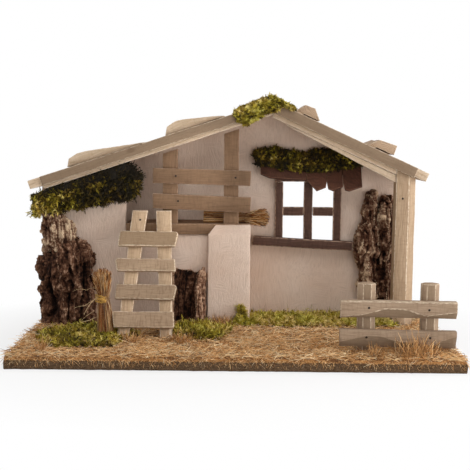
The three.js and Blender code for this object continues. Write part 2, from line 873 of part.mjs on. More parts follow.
const leftLobe = {
  centreX: rightBarkX - rightLobeWidth / 2 - leftLobeWidth / 2 + lobeOverlap,
  width: leftLobeWidth,
  depth: rightBarkDepth,
  height: rightBarkHeight,
  bottom: baseTop,
  back: backWallFront - glueGap,
  stations: [
    { at: 0, left: -0.1, right: 0.45, depth: 0.8 },
    { at: 0.33, left: -0.25, right: 0.45, depth: 0.9 },
    { at: 0.52, left: -0.45, right: 0.45, depth: 1 },
    { at: 0.68, left: -0.4, right: 0.4, depth: 0.95 },
    { at: 0.8, left: -0.2, right: 0.28, depth: 0.75 },
    { at: 0.94, left: -0.16, right: 0.28, depth: 0.7 },
    { at: 1, left: -0.06, right: 0.2, depth: 0.5 },
  ],
};

function shoulderBarkSolid() {
  return barkSlab(shoulderBark).subtract(barkSlab(leftBark, glueGap));
}

const hollowCentreX = blockLeft - glueGap - hollowBarkWidth / 2 - hollowBarkSideGap;

// A curl of bark with its back against the wall. Its right edge wraps round to the front, and the
// open side looks to the front and a little to the left.
function hollowBark() {
  const levels = 8;
  const steps = 14;
  const centreY = barkBackAtFront - hollowBarkDepth * 0.55;
  const rings = [];
  for (let level = 0; level <= levels; level += 1) {
    const share = level / levels;
    const outer = [];
    const inner = [];
    for (let step = 0; step <= steps; step += 1) {
      const angle = THREE.MathUtils.lerp(
        -hollowBarkRightWrap, Math.PI + hollowBarkLeftWrap, step / steps,
      );
      const rough = 1 + 0.6 * furrow(angle, share) - 0.04;
      const lip = 1 + between(hollowBarkLip, step / steps, "rise") + 0.015 * Math.cos(8 * angle);
      const z = baseTop + share * hollowBarkHeight * lip;
      const radiusX = (hollowBarkWidth / 2) * rough;
      const radiusY = hollowBarkDepth * 0.55 * rough;
      const y = Math.min(centreY + radiusY * Math.sin(angle), barkBackAtFront);
      outer.push(new THREE.Vector3(hollowCentreX + radiusX * Math.cos(angle), y, z));
      const innerX = hollowBarkWidth / 2 - hollowBarkWall;
      const innerY = hollowBarkDepth * 0.55 - hollowBarkWall;
      inner.push(new THREE.Vector3(
        hollowCentreX + innerX * Math.cos(angle), centreY + innerY * Math.sin(angle), z,
      ));
    }
    rings.push([...outer, ...inner.reverse()]);
  }
  return loft(rings);
}

// Straw

// A stalk as a thin four-sided tube along a smooth curve.
function stalk(points) {
  const section = shapeOf([
    [strawStalk / 2, 0],
    [0, strawStalk / 2],
    [-strawStalk / 2, 0],
    [0, -strawStalk / 2],
  ]);
  const path = new THREE.CatmullRomCurve3(points);
  return new THREE.ExtrudeGeometry(section, { steps: 7, bevelEnabled: false, extrudePath: path });
}

// Straw tied round the waist: an even ring of stalks that spreads to the foot and to the head,
// every one caught in the packed core. It stands on z = 0 with its axis on Z.
function strawBundle(height, waistAt, footRadius, waistRadius, headRadius) {
  const gapFilling = 1.06;
  const count = Math.floor((2 * Math.PI * waistRadius) / (strawStalk * gapFilling));
  const core = [
    new THREE.Vector2(0, height * 0.08),
    new THREE.Vector2(waistRadius, height * 0.08),
    new THREE.Vector2(waistRadius, waistAt),
    new THREE.Vector2(waistRadius * 1.2, height * 0.8),
    new THREE.Vector2(0, height * 0.86),
  ];
  let bundle = solidOf(new THREE.LatheGeometry(core, count).rotateX(Math.PI / 2));
  for (let index = 0; index < count; index += 1) {
    const angle = ((index + 0.5) / count) * 2 * Math.PI;
    const spread = 1 + 0.08 * Math.sin(7 * index);
    const at = (radius, z) => new THREE.Vector3(
      radius * Math.cos(angle), radius * Math.sin(angle), z,
    );
    const headZ = height * (0.95 + 0.05 * Math.cos(5 * index));
    const line = [
      at(footRadius * (1 - 0.5 * Math.abs(spread - 1)), 0),
      at(waistRadius, waistAt),
      at((waistRadius + headRadius) / 2, (waistAt + headZ) / 2),
      at(headRadius * spread, headZ),
    ];
    bundle = bundle.add(solidOf(stalk(line)));
  }
  return bundle;
}

const sheafX = ladderCentreX - sheafFromLadder;
const sheafY = frontWallFront - sheafStandoff;

function standingSheaf() {
  const bundle = strawBundle(
    sheafHeight, sheafWaistRise, sheafFootRadius, sheafWaistRadius, sheafHeadRadius,
  );
  const reach = 2 * sheafHeadRadius;
  const aboveBoard = block(-reach, reach, -reach, reach, 0, 2 * sheafHeight);
  const trimmed = bundle.intersect(solidOf(aboveBoard));
  const tieRoom = new THREE.CylinderGeometry(reach, reach, sheafTieWidth + 2 * glueGap, 24);
  tieRoom.rotateX(Math.PI / 2).translate(0, 0, sheafWaistRise);
  const waist = new THREE.CylinderGeometry(
    sheafWaistRadius, sheafWaistRadius, sheafTieWidth + 2 * glueGap, 24,
  );
  waist.rotateX(Math.PI / 2).translate(0, 0, sheafWaistRise);
  const neck = solidOf(tieRoom).subtract(solidOf(waist));
  return geometryOf(trimmed.subtract(neck)).translate(sheafX, sheafY, baseTop);
}

// The tie is a flat band of twisted straw with a round edge.
function sheafTie() {
  const inner = sheafWaistRadius + glueGap;
  const outer = inner + sheafTieThickness;
  const half = sheafTieWidth / 2;
  const profile = [
    new THREE.Vector2(inner, -half),
    new THREE.Vector2(outer - sheafTieEdge, -half),
    new THREE.Vector2(outer, -half * 0.5),
    new THREE.Vector2(outer, half * 0.5),
    new THREE.Vector2(outer - sheafTieEdge, half),
    new THREE.Vector2(inner, half),
    new THREE.Vector2(inner, -half),
  ];
  const band = new THREE.LatheGeometry(profile, 24).rotateX(Math.PI / 2);
  return band.translate(sheafX, sheafY, baseTop + sheafWaistRise);
}

// The bundle on the loft lies along the railing, its spread head past the floor's end.
function loftBundle() {
  const bundle = strawBundle(
    bundleLength, bundleLength * 0.6, bundleTailRadius, bundleWaistRadius, bundleHeadRadius,
  );
  const axisY = railingFront + railingPostDepth + bundleTailRadius + bundleRailingGap;
  const axisZ = loftFloorHeight + bundleTailRadius + strawStalk;
  const lying = layAlongX(geometryOf(bundle));
  const placed = lying.translate(blockRight + bundleReach - bundleLength, axisY, axisZ);
  const floor = block(
    -halfWidth, blockRight + 1, -halfDepth, halfDepth, baseTop, loftFloorHeight + glueGap,
  );
  return geometryOf(solidOf(placed).subtract(solidOf(floor)));
}

// Moss

// A cushion of moss over the ridge: each ring is a slice across the ridge that follows both
// slopes below and swells above, thinner towards its front and back.
function ridgeMoss() {
  const slices = 6;
  const steps = 10;
  const front = bargeFront - ridgeMossOverhang;
  const rings = [];
  for (let slice = 0; slice <= slices; slice += 1) {
    const share = slice / slices;
    const swell = 0.35 + 0.65 * Math.sin(Math.PI * (0.15 + 0.7 * share));
    const left = ridgeX - ridgeMossLeft * (0.8 + 0.2 * swell);
    const right = ridgeX + ridgeMossRight * (0.8 + 0.2 * swell);
    const under = [];
    const over = [];
    for (let step = 0; step <= steps; step += 1) {
      const x = THREE.MathUtils.lerp(left, right, step / steps);
      const crown = Math.sqrt(Math.sin((Math.PI * (step + 0.35)) / (steps + 0.7)));
      under.push(new THREE.Vector3(roofTop(x) - mossSkin, x, 0));
      over.push(new THREE.Vector3(roofTop(x) + mossSkin + ridgeMossHeight * swell * crown, x, 0));
    }
    const ring = [...over, ...under.reverse()];
    const y = front + share * ridgeMossDepth;
    rings.push(ring.map((point) => new THREE.Vector3(point.x, point.y, y)));
  }
  const cushion = loft(rings).applyMatrix4(new THREE.Matrix4().makeBasis(
    new THREE.Vector3(0, 0, 1), new THREE.Vector3(1, 0, 0), new THREE.Vector3(0, 1, 0),
  ));
  const moss = solidOf(cushion).add(solidOf(ridgeDrape(front)));
  return geometryOf(moss.subtract(roofBody()));
}

// The room that the roof takes up under the ridge moss, from the bargeboards' faces back.
function roofBody() {
  const outline = shapeOf([
    [roofLeft, roofTop(roofLeft) - 5 * margin],
    [roofRight, roofTop(roofRight) - 5 * margin],
    [roofRight, roofTop(roofRight) + glueGap],
    [ridgeX, ridgeHeight + glueGap],
    [roofLeft, roofTop(roofLeft) + glueGap],
  ]);
  return solidOf(uprightPrism(outline, bargeFront - glueGap, halfDepth));
}

// The part of the ridge moss that hangs over the faces of the bargeboards.
function ridgeDrape(front) {
  const lowerEdge = ridgeMossDrape.map(([way, drop]) => [ridgeX + way, roofTop(ridgeX + way) - drop]);
  const lap = (x) => [x, roofTop(x) + ridgeMossDrapeLap];
  const left = lowerEdge[0][0];
  const right = lowerEdge[lowerEdge.length - 1][0];
  const outline = shapeOf([lap(left), ...lowerEdge, lap(right), lap(ridgeX)]);
  return uprightPrism(outline, front, bargeFront);
}

// Moss hung in the corner under the left eave.
function eaveMoss() {
  const left = roofLeft + 2;
  const right = frontWallRight + eaveMossReach;
  const top = (x) => underRoof(x, deckThickness + leftRafterDrop) - glueGap;
  const outline = [[left, top(left)]];
  for (let tuft = 0; tuft <= eaveMossFringe; tuft += 1) {
    const share = tuft / eaveMossFringe;
    const x = THREE.MathUtils.lerp(left + 4, right - 6, share);
    const drop = eaveMossDrop * (0.75 + 0.55 * share + (tuft % 2 === 0 ? 0.08 : -0.08));
    outline.push([x, top(x) - drop]);
  }
  outline.push([right, top(right) - eaveMossDrop * 0.6]);
  outline.push([frontWallRight + 3, top(frontWallRight + 3)]);
  const hung = uprightPrism(shapeOf(outline), barkBackAtFront - eaveMossThickness, barkBackAtFront);
  const barkRoom = barkSlab(shoulderBark, glueGap).add(barkSlab(leftBark, glueGap));
  return geometryOf(solidOf(hung).subtract(barkRoom));
}

// Moss heaped on the canopy: it lies on the shingles, leans on the wall and thins to both ends.
function windowMoss() {
  const stations = 12;
  const slope = Math.tan(canopyPitch);
  const left = shingleLeft - windowMossOverlap;
  const length = canopyWidth + 2 * windowMossOverlap;
  const shingleTop = (y) => canopyTop() - (frameBack - y) * slope
    + shingleThickness / Math.cos(canopyPitch) + glueGap;
  const rings = [];
  for (let station = 0; station <= stations; station += 1) {
    const share = station / stations;
    const x = left + share * length;
    const heap = 0.15 + 0.85 * Math.abs(Math.sin(share * 2.1 * Math.PI + 0.55));
    const front = frameBack - windowMossReach - windowMossBelly * Math.sin(Math.PI * share);
    const crest = shingleTop(frameBack) + windowMossHeight * heap - windowMossFall * share;
    const lowest = shingleTop(front);
    rings.push([
      new THREE.Vector3(front, lowest, x),
      new THREE.Vector3(frameBack, shingleTop(frameBack), x),
      new THREE.Vector3(frameBack, crest, x),
      new THREE.Vector3(frameBack - windowMossReach * 0.7, crest - 2 * mossSkin, x),
      new THREE.Vector3(front - mossSkin, lowest + windowMossNose, x),
    ]);
  }
  return geometryOf(solidOf(layAlongX(loft(rings))).subtract(roofRoom()));
}

const groundMossPatches = [
  {
    name: "ground_moss_left",
    x: wallLeft + leftMossInset,
    y: frontWallFront - leftMossStandoff,
    radiusX: leftMossRadiusX,
    radiusY: leftMossRadiusY,
    height: leftMossHeight,
    roundness: 0.85,
    lobes: 5,
  },
  {
    name: "ground_moss_centre",
    x: blockLeft - centreMossBesideBlock,
    y: frontWallFront - centreMossStandoff,
    radiusX: centreMossRadius,
    radiusY: centreMossRadius,
    height: centreMossHeight,
    roundness: 1,
    lobes: 4,
  },
  {
    name: "ground_moss_back",
    x: blockRight + backMossPastBlock,
    y: backWallFront - backMossStandoff,
    radiusX: backMossRadiusX,
    radiusY: backMossRadiusY,
    height: backMossHeight,
    roundness: 0.5,
    lobes: 6,
  },
];

// A low mound of moss with a lobed outline: an ellipse, or a strip with rounded corners where
// the patch's roundness is under one.
function mossMound(patch) {
  const bent = (value) => Math.sign(value) * Math.abs(value) ** patch.roundness;
  const sides = 20;
  const levels = [[1, 0], [0.97, 0.45], [0.78, 0.8], [0.42, 1]];
  const rings = levels.map(([spread, rise]) => {
    const ring = [];
    for (let side = 0; side < sides; side += 1) {
      const angle = (side / sides) * 2 * Math.PI;
      const lobe = spread * (1 + 0.09 * Math.sin(patch.lobes * angle));
      ring.push(new THREE.Vector3(
        patch.x + patch.radiusX * lobe * bent(Math.cos(angle)),
        patch.y + patch.radiusY * lobe * bent(Math.sin(angle)),
        baseTop + strawDepth + glueGap + rise * patch.height,
      ));
    }
    return ring;
  });
  return solidOf(loft(rings));
}

// What stands through the straw and the moss, each with room round its foot.
function footRoom() {
  const highest = Math.max(...groundMossPatches.map((patch) => patch.height));
  const tall = baseTop + strawDepth + highest + 2 * margin;
  const low = baseTop - 1;
  const around = (left, right, front, back) => solidOf(block(
    left - footClearance, right + footClearance,
    front - footClearance, back + footClearance, low, tall,
  ));
  const fenceFront = -halfDepth + fenceSetback;
  const halfPost = fencePostWidth / 2;
  const rooms = [
    around(wallLeft - margin, blockLeft, frontWallFront, halfDepth + margin),
    around(blockLeft, blockRight, blockFront, halfDepth + margin),
    around(blockRight, halfWidth + margin, backWallFront, halfDepth + margin),
    around(postLeft, postRight, postFront, postFront + postDepth),
    ...[leftBark, rightLobe, leftLobe].map((slab) => barkSlab(slab, footClearance)),
    ...[leftBark, rightLobe, leftLobe].map((slab) => around(
      slab.centreX - slab.width / 2, slab.centreX + slab.width / 2,
      slab.back - slab.depth / 2, slab.back + footClearance,
    )),
    around(
      hollowCentreX - hollowBarkWidth / 2, blockLeft,
      barkBackAtFront - hollowBarkDepth, frontWallFront,
    ),
  ];
  [fenceRightPostX, fenceRightPostX - fencePostSpacing].forEach((x) => {
    rooms.push(around(x - halfPost, x + halfPost, fenceFront, fenceFront + fencePostDepth));
  });
  [-1, 1].forEach((side) => {
    const x = ladderCentreX + (side * ladderFootSpread) / 2;
    const lean = (tall - baseTop) * Math.tan(ladderLean);
    rooms.push(around(
      x - legFootWidth / 2 - splayClearance, x + legFootWidth / 2 + splayClearance,
      legFootFront, legFootFront + legDepth + lean,
    ));
  });
  const sheafRoom = new THREE.CylinderGeometry(
    sheafFootRadius + strawStalk, sheafFootRadius + strawStalk, tall - low, 20,
  );
  sheafRoom.rotateX(Math.PI / 2).translate(sheafX, sheafY, (low + tall) / 2);
  rooms.push(solidOf(sheafRoom));
  return rooms.reduce((all, room) => all.add(room));
}

const feet = footRoom();

function strawCover() {
  const inset = strawEdgeInset;
  const sheet = block(
    -halfWidth + inset, halfWidth - inset, -halfDepth + inset, backWallFront - glueGap,
    baseTop, baseTop + strawDepth,
  );
  return geometryOf(solidOf(sheet).subtract(feet));
}

// Finishes

function finish(colour, roughness, metalness = 0) {
  return () => new THREE.MeshStandardMaterial({ color: colour, roughness, metalness });
}

const fibreBoard = finish(0x66503c, 0.95);
const looseStraw = finish(0xb08a5c, 0.9);
const plaster = finish(0xe0c8b5, 0.95);
const rawPine = finish(0xb89a78, 0.8);
const brownPine = finish(0x9c7654, 0.8);
const greyedPine = finish(0x9a826b, 0.85);
const palePine = finish(0xd6bfa2, 0.8);
const stainedWood = finish(0x50392d, 0.75);
const stainedShingle = finish(0x452b21, 0.85);
const corkBark = finish(0x453023, 1);
const straw = finish(0xa87c48, 0.85);
const strawTie = finish(0xb98c3e, 0.8);
const moss = finish(0x6b5a24, 1);

function piece(name, geometry, material) {
  const mesh = new THREE.Mesh(geometry, material());
  mesh.name = name;
  return mesh;
}

// Assembly

function ground() {
  const group = new THREE.Group();
  const board = block(-halfWidth, halfWidth, -halfDepth, halfDepth, 0, baseTop);
  group.add(piece("base_board", board, fibreBoard));
  group.add(piece("straw_ground_cover", strawCover(), looseStraw));
  groundMossPatches.forEach((patch) => {
    const mound = mossMound(patch).subtract(feet);
    group.add(piece(patch.name, geometryOf(mound), moss));
  });
  return group;
}

function walls() {
  const group = new THREE.Group();
  group.add(piece("back_wall", backWall(), plaster));
  group.add(piece("left_side_wall", sideWall(), plaster));
  group.add(piece("front_wall_left", frontWall(), plaster));
  group.add(piece("front_wall_under_loft", wallUnderLoft(), plaster));
  group.add(piece("plaster_block", plasterBlock(), plaster));
  group.add(piece("corner_post", cornerPost(), palePine));
  return group;
}

function roof() {
  const group = new THREE.Group();
  const rafterBack = frontWallFront - glueGap;
  const rafterTop = deckThickness + glueGap;
  const rafterBottom = deckThickness + rightRafterDrop;
  const postSide = postLeft - glueGap;
  const leftRafterBottom = deckThickness + leftRafterDrop;
  const slopes = [
    ["roof_deck_left", palePine, -1, roofLeft, 0, deckThickness, roofFront, roofBack],
    ["roof_deck_right", palePine, 1, roofRight, 0, deckThickness, roofFront, roofBack],
    ["bargeboard_left", greyedPine, -1, wallLeft, 0, leftBargeHeight, bargeFront, bargeBack],
    ["bargeboard_right", greyedPine, 1, postRight, 0, rightBargeHeight, bargeFront, bargeBack],
    ["rafter_left", palePine, -1, wallLeft, rafterTop, leftRafterBottom, roofFront, rafterBack],
    ["rafter_right", palePine, 1, postSide, rafterTop, rafterBottom, roofFront, rafterBack, "plumb"],
  ];
  slopes.forEach(([name, material, ...place]) => {
    group.add(piece(name, slopePiece(...place), material));
  });
  group.add(piece("rafter_batten_right", rightBatten(postSide, rafterBottom, rafterBack), palePine));
  group.add(piece("roof_slab_left_lower", leftSlab(lowerSlabDistance, lowerSlabReach), palePine));
  group.add(piece("roof_slab_left_upper", leftSlab(upperSlabDistance, upperSlabReach), palePine));
  group.add(piece("roof_slab_right_upper", rightSlab(upperRightSlab), greyedPine));
  group.add(piece("roof_slab_right_lower", rightSlab(lowerRightSlab), greyedPine));
  group.add(piece("ridge_moss", ridgeMoss(), moss));
  group.add(piece("eave_moss", eaveMoss(), moss));
  return group;
}

function hayLoft() {
  const group = new THREE.Group();
  const floor = block(
    loftLeft, blockRight, loftFront, backWallFront - glueGap, loftBottom, loftFloorHeight,
  );
  group.add(piece("loft_floor", floor, brownPine));
  group.add(piece("railing_post_left", railingPost(leftRailingPostLeft), brownPine));
  group.add(piece("railing_post_right", railingPost(rightRailingPostLeft), brownPine));
  group.add(piece("railing_rail_upper", loftRail(upperRailRise, upperRailTilt), brownPine));
  group.add(piece("railing_rail_lower", loftRail(lowerRailRise, lowerRailTilt), brownPine));
  group.add(piece("straw_bundle_loft", loftBundle(), straw));
  return group;
}

function ladder() {
  const group = new THREE.Group();
  group.add(piece("ladder_leg_left", ladderLeg(-1), rawPine));
  group.add(piece("ladder_leg_right", ladderLeg(1), rawPine));
  const rungs = new THREE.Group();
  rungs.position.set(ladderCentreX, legFootFront, baseTop);
  rungs.rotation.x = -ladderLean;
  rungPlanks.forEach((plank, index) => {
    rungs.add(piece(`ladder_rung_${index + 1}`, rung(plank, index), rawPine));
  });
  group.add(rungs);
  return group;
}

function windowUnit() {
  const group = new THREE.Group();
  const transomBottom = transomTop() - windowBarWidth;
  const mullionLeft = windowCentreX - windowBarWidth / 2;
  const mullionRight = windowCentreX + windowBarWidth / 2;
  const innerLeft = leftStileLeft + stileWidth;
  const innerRight = rightStileRight - stileWidth;
  const bars = [
    ["window_stile_left", leftStileLeft, innerLeft, windowSillHeight, windowTop()],
    ["window_stile_right", innerRight, rightStileRight, windowSillHeight, windowTop()],
    ["window_mullion", mullionLeft, mullionRight, windowSillHeight, windowTop()],
    ["window_transom_left", innerLeft + glueGap, mullionLeft - glueGap, transomBottom, transomTop()],
    ["window_transom_right", mullionRight + glueGap, innerRight - glueGap, transomBottom, transomTop()],
    ["window_head", leftStileLeft, rightStileRight, windowTop() + glueGap, windowTop() + windowHeadHeight],
  ];
  bars.forEach(([name, left, right, bottom, top]) => {
    group.add(piece(name, windowBar(left, right, bottom, top), stainedWood));
  });
  group.add(piece("window_sill", windowSill(), stainedWood));
  group.add(piece("canopy_batten", canopyBatten(), stainedWood));
  const shingles = new THREE.Group();
  shingles.position.set(0, frameBack, canopyTop());
  shingles.rotation.x = -(Math.PI / 2 - canopyPitch);
  shinglePlanks.forEach((plank, index) => {
    shingles.add(piece(`canopy_shingle_${index + 1}`, shingle(plank, index), stainedShingle));
  });
  group.add(shingles);
  group.add(piece("window_moss", windowMoss(), moss));
  return group;
}

function fence() {
  const group = new THREE.Group();
  group.add(piece("fence_post_left", fencePost(fenceRightPostX - fencePostSpacing), greyedPine));
  group.add(piece("fence_post_right", fencePost(fenceRightPostX), greyedPine));
  [
    ["fence_rail_upper", upperFenceRailRise, upperFenceRailWane, 0.4],
    ["fence_rail_lower", lowerFenceRailRise, lowerFenceRailWane, 1.7],
  ].forEach(([name, rise, wane, phase]) => {
    group.add(piece(name, fenceRail(rise - fenceRailHeight / 2, wane, phase), greyedPine));
  });
  return group;
}

function bark() {
  const group = new THREE.Group();
  const rightBark = barkSlab(rightLobe).add(barkSlab(leftLobe));
  group.add(piece("cork_bark_left", geometryOf(barkSlab(leftBark)), corkBark));
  group.add(piece("cork_bark_left_upper", geometryOf(shoulderBarkSolid()), corkBark));
  group.add(piece("cork_bark_right", geometryOf(rightBark), corkBark));
  group.add(piece("cork_bark_hollow", hollowBark(), corkBark));
  return group;
}

function sheaf() {
  const group = new THREE.Group();
  group.add(piece("straw_sheaf", standingSheaf(), straw));
  group.add(piece("straw_sheaf_tie", sheafTie(), strawTie));
  return group;
}

const stable = new THREE.Group();
[ground, walls, roof, hayLoft, ladder, windowUnit, fence, bark, sheaf].forEach((part) => {
  stable.add(part());
});

export default stable;
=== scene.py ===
"""A tabletop nativity stable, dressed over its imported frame.

Sawn timber, plaster, cork bark, moss and straw are shaped over the frame's solids, in metres,
in the frame's own place. Sizes that belong to the look are fields of each sub-assembly's class.
"""
import json
import logging
import math
from collections.abc import Iterator, Sequence
from contextlib import contextmanager
from dataclasses import dataclass, field
from enum import Enum

import bpy
import numpy as np
from mathutils import Euler, Matrix, Vector, noise

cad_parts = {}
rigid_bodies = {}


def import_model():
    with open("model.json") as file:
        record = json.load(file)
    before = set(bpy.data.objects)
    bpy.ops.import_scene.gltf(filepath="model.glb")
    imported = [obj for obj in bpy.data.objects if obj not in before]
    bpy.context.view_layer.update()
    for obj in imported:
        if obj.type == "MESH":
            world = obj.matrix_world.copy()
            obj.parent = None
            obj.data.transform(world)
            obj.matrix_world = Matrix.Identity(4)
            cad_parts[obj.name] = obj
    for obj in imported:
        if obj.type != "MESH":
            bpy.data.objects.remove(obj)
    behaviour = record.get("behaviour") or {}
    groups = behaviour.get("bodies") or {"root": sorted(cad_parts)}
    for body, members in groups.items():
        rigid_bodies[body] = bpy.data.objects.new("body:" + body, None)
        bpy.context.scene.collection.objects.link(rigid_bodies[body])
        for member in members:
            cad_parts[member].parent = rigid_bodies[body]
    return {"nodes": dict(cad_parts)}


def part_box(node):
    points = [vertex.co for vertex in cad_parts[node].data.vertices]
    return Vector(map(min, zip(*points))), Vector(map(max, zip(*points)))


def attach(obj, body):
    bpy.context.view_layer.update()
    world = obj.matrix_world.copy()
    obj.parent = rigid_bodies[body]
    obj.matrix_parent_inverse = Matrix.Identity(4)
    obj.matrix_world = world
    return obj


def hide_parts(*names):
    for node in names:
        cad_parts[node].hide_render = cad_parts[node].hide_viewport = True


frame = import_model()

log = logging.getLogger("stable")
MM = 0.001
ROOT = "root"
WHITE = (1.0, 1.0, 1.0, 1.0)
# Vector noise starts from the clock unless it's given a seed, and then every run differs.
NOISE_SEED = 7
ALONG_X = Vector((1, 0, 0))
TO_THE_BACK = Vector((0, 1, 0))
# Vertices this close are one, and faces this near to level with each other are one.
SAME_PLACE = 0.01 * MM
SAME_PLANE = math.radians(0.5)
# An edge that turns by more than this is an arris, which hands and tools round off.
ARRIS = math.radians(20)


class Grain(Enum):
    """The way a piece's wood fibres run, as a unit vector."""

    ACROSS = (1.0, 0.0, 0.0)
    DEEP = (0.0, 1.0, 0.0)
    UPRIGHT = (0.0, 0.0, 1.0)
    LEFT_SLOPE = (0.9494, 0.0, 0.3140)
    RIGHT_SLOPE = (0.9121, 0.0, -0.4099)
    LADDER = (0.0, 0.5388, 0.8425)

    @property
    def vector(self) -> Vector:
        """The unit vector along the fibres."""
        return Vector(self.value).normalized()


def activate(piece: bpy.types.Object) -> None:
    """Selects one piece alone and makes it the active one.

    Args:
        piece: The piece that the next operators act on.
    """
    bpy.ops.object.select_all(action="DESELECT")
    piece.select_set(True)
    bpy.context.view_layer.objects.active = piece


@contextmanager
def editing(piece: bpy.types.Object) -> Iterator[None]:
    """Holds a piece in edit mode with everything selected, and leaves it in object mode.

    Args:
        piece: The mesh piece to edit.

    Yields:
        Nothing; the operators inside the block act on the piece.
    """
    activate(piece)
    bpy.ops.object.mode_set(mode="EDIT")
    bpy.ops.mesh.select_all(action="SELECT")
    try:
        yield
    finally:
        bpy.ops.object.mode_set(mode="OBJECT")


def points_of(piece: bpy.types.Object) -> np.ndarray:
    """Returns the places of a piece's vertices as an array of rows."""
    points = np.empty(len(piece.data.vertices) * 3)
    piece.data.vertices.foreach_get("co", points)
    return points.reshape(-1, 3)


def points_along(piece: bpy.types.Object) -> np.ndarray:
    """Returns each vertex's share of the way along its strand."""
    shares = np.empty(len(piece.data.vertices), np.float32)
    piece.data.attributes["along"].data.foreach_get("value", shares)
    return shares


def place_points(piece: bpy.types.Object, points: np.ndarray) -> None:
    """Moves a piece's vertices to new places.

    Args:
        piece: The piece to reshape.
        points: One row per vertex.
    """
    piece.data.vertices.foreach_set("co", points.ravel())
    piece.data.update()


def write_values(piece: bpy.types.Object, name: str, values: np.ndarray, domain: str = "POINT") -> None:
    """Writes an attribute for the materials to read.

    Args:
        piece: The piece that carries it.
        name: The attribute's name.
        values: A number or a vector for each vertex or face.
        domain: POINT or FACE.
    """
    kind, key = ("FLOAT", "value") if values.ndim == 1 else ("FLOAT_VECTOR", "vector")
    attribute = piece.data.attributes.new(name, kind, domain)
    attribute.data.foreach_set(key, values.astype(np.float32).ravel())


def copy_of(node: str, name: str) -> bpy.types.Object:
    """Makes a merged copy of a CAD node, with its flat faces in one piece each.

    Args:
        node: The CAD node's name.
        name: The new piece's name.

    Returns:
        The copy, in the node's place.
    """
    piece = bpy.data.objects.new(name, frame["nodes"][node].data.copy())
    bpy.context.scene.collection.objects.link(piece)
    piece.data.materials.clear()
    with editing(piece):
        bpy.ops.mesh.remove_doubles(threshold=SAME_PLACE)
        bpy.ops.mesh.dissolve_limited(angle_limit=SAME_PLANE)
    return piece


def apply_modifier(piece: bpy.types.Object, kind: str, **settings: object) -> None:
    """Adds a modifier and applies it at once.

    Args:
        piece: The piece to change.
        kind: The modifier's type.
        settings: The modifier's settings by name.
    """
    activate(piece)
    modifier = piece.modifiers.new(kind.title(), kind)
    for key, value in settings.items():
        setattr(modifier, key, value)
    bpy.ops.object.modifier_apply(modifier=modifier.name)


def slice_across(piece: bpy.types.Object, axis: Vector, spacing: float) -> None:
    """Cuts new edges square across an axis, so that the piece can bend along it.

    Args:
        piece: The piece to cut.
        axis: The unit vector along which the cuts follow each other.
        spacing: The length between cuts.
    """
    along = points_of(piece) @ np.array(axis)
    low, high = along.min(), along.max()
    count = max(1, round((high - low) / spacing))
    with editing(piece):
        for step in range(1, count):
            at = low + (high - low) * step / count
            bpy.ops.mesh.select_all(action="SELECT")
            bpy.ops.mesh.bisect(plane_co=axis * at, plane_no=axis)


def wobble(piece: bpy.types.Object, reach: float, period: float, seed: float) -> None:
    """Lets a piece's vertices drift by smooth noise, as hand work does.

    Args:
        piece: The piece to change.
        reach: The greatest drift.
        period: The length over which the drift changes.
        seed: Sets one piece's drift apart from another's.
    """
    points = points_of(piece)
    start = Vector((seed * 7.3, seed * 3.1, seed * 5.7))
    drift = [noise.noise_vector(Vector(point) / period + start) for point in points]
    place_points(piece, points + np.array(drift) * reach)


def smooth(piece: bpy.types.Object, angle: float = 35.0) -> None:
    """Shades a piece smooth except over sharp edges.

    Args:
        piece: The piece to shade.
        angle: The angle in degrees past which an edge stays sharp.
    """
    activate(piece)
    bpy.ops.object.shade_smooth_by_angle(angle=math.radians(angle))


def join(parts: list[bpy.types.Object], name: str) -> bpy.types.Object:
    """Joins parts into one piece.

    Args:
        parts: The parts; the first keeps its object.
        name: The joined piece's name.

    Returns:
        The joined piece.
    """
    activate(parts[0])
    for part in parts[1:]:
        part.select_set(True)
    if len(parts) > 1:
        bpy.ops.object.join()
    parts[0].name = name
    return parts[0]


def mesh_piece(name: str, points: np.ndarray, faces: np.ndarray) -> bpy.types.Object:
    """Makes a piece from arrays of vertices and equal-sided faces.

    Args:
        name: The piece's name.
        points: One row per vertex.
        faces: One row of vertex numbers per face.

    Returns:
        The new piece.
    """
    mesh = bpy.data.meshes.new(name)
    mesh.from_pydata(points, [], faces.tolist())
    piece = bpy.data.objects.new(name, mesh)
    bpy.context.scene.collection.objects.link(piece)
    return piece


def dress(
    piece: bpy.types.Object, material: bpy.types.Material, slot: str, *nodes: str,
) -> bpy.types.Object:
    """Gives a finished piece its material, its body and the nodes that it stands for.

    Args:
        piece: The finished piece.
        material: Its material.
        slot: The record's material slot; not used.
        nodes: The CAD nodes that it replaces.

    Returns:
        The piece.
    """
    piece.data.materials.clear()
    piece.data.materials.append(material)
    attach(piece, ROOT)
    if nodes:
        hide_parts(*nodes)
    log.info("%s: %d faces", piece.name, len(piece.data.polygons))
    return piece


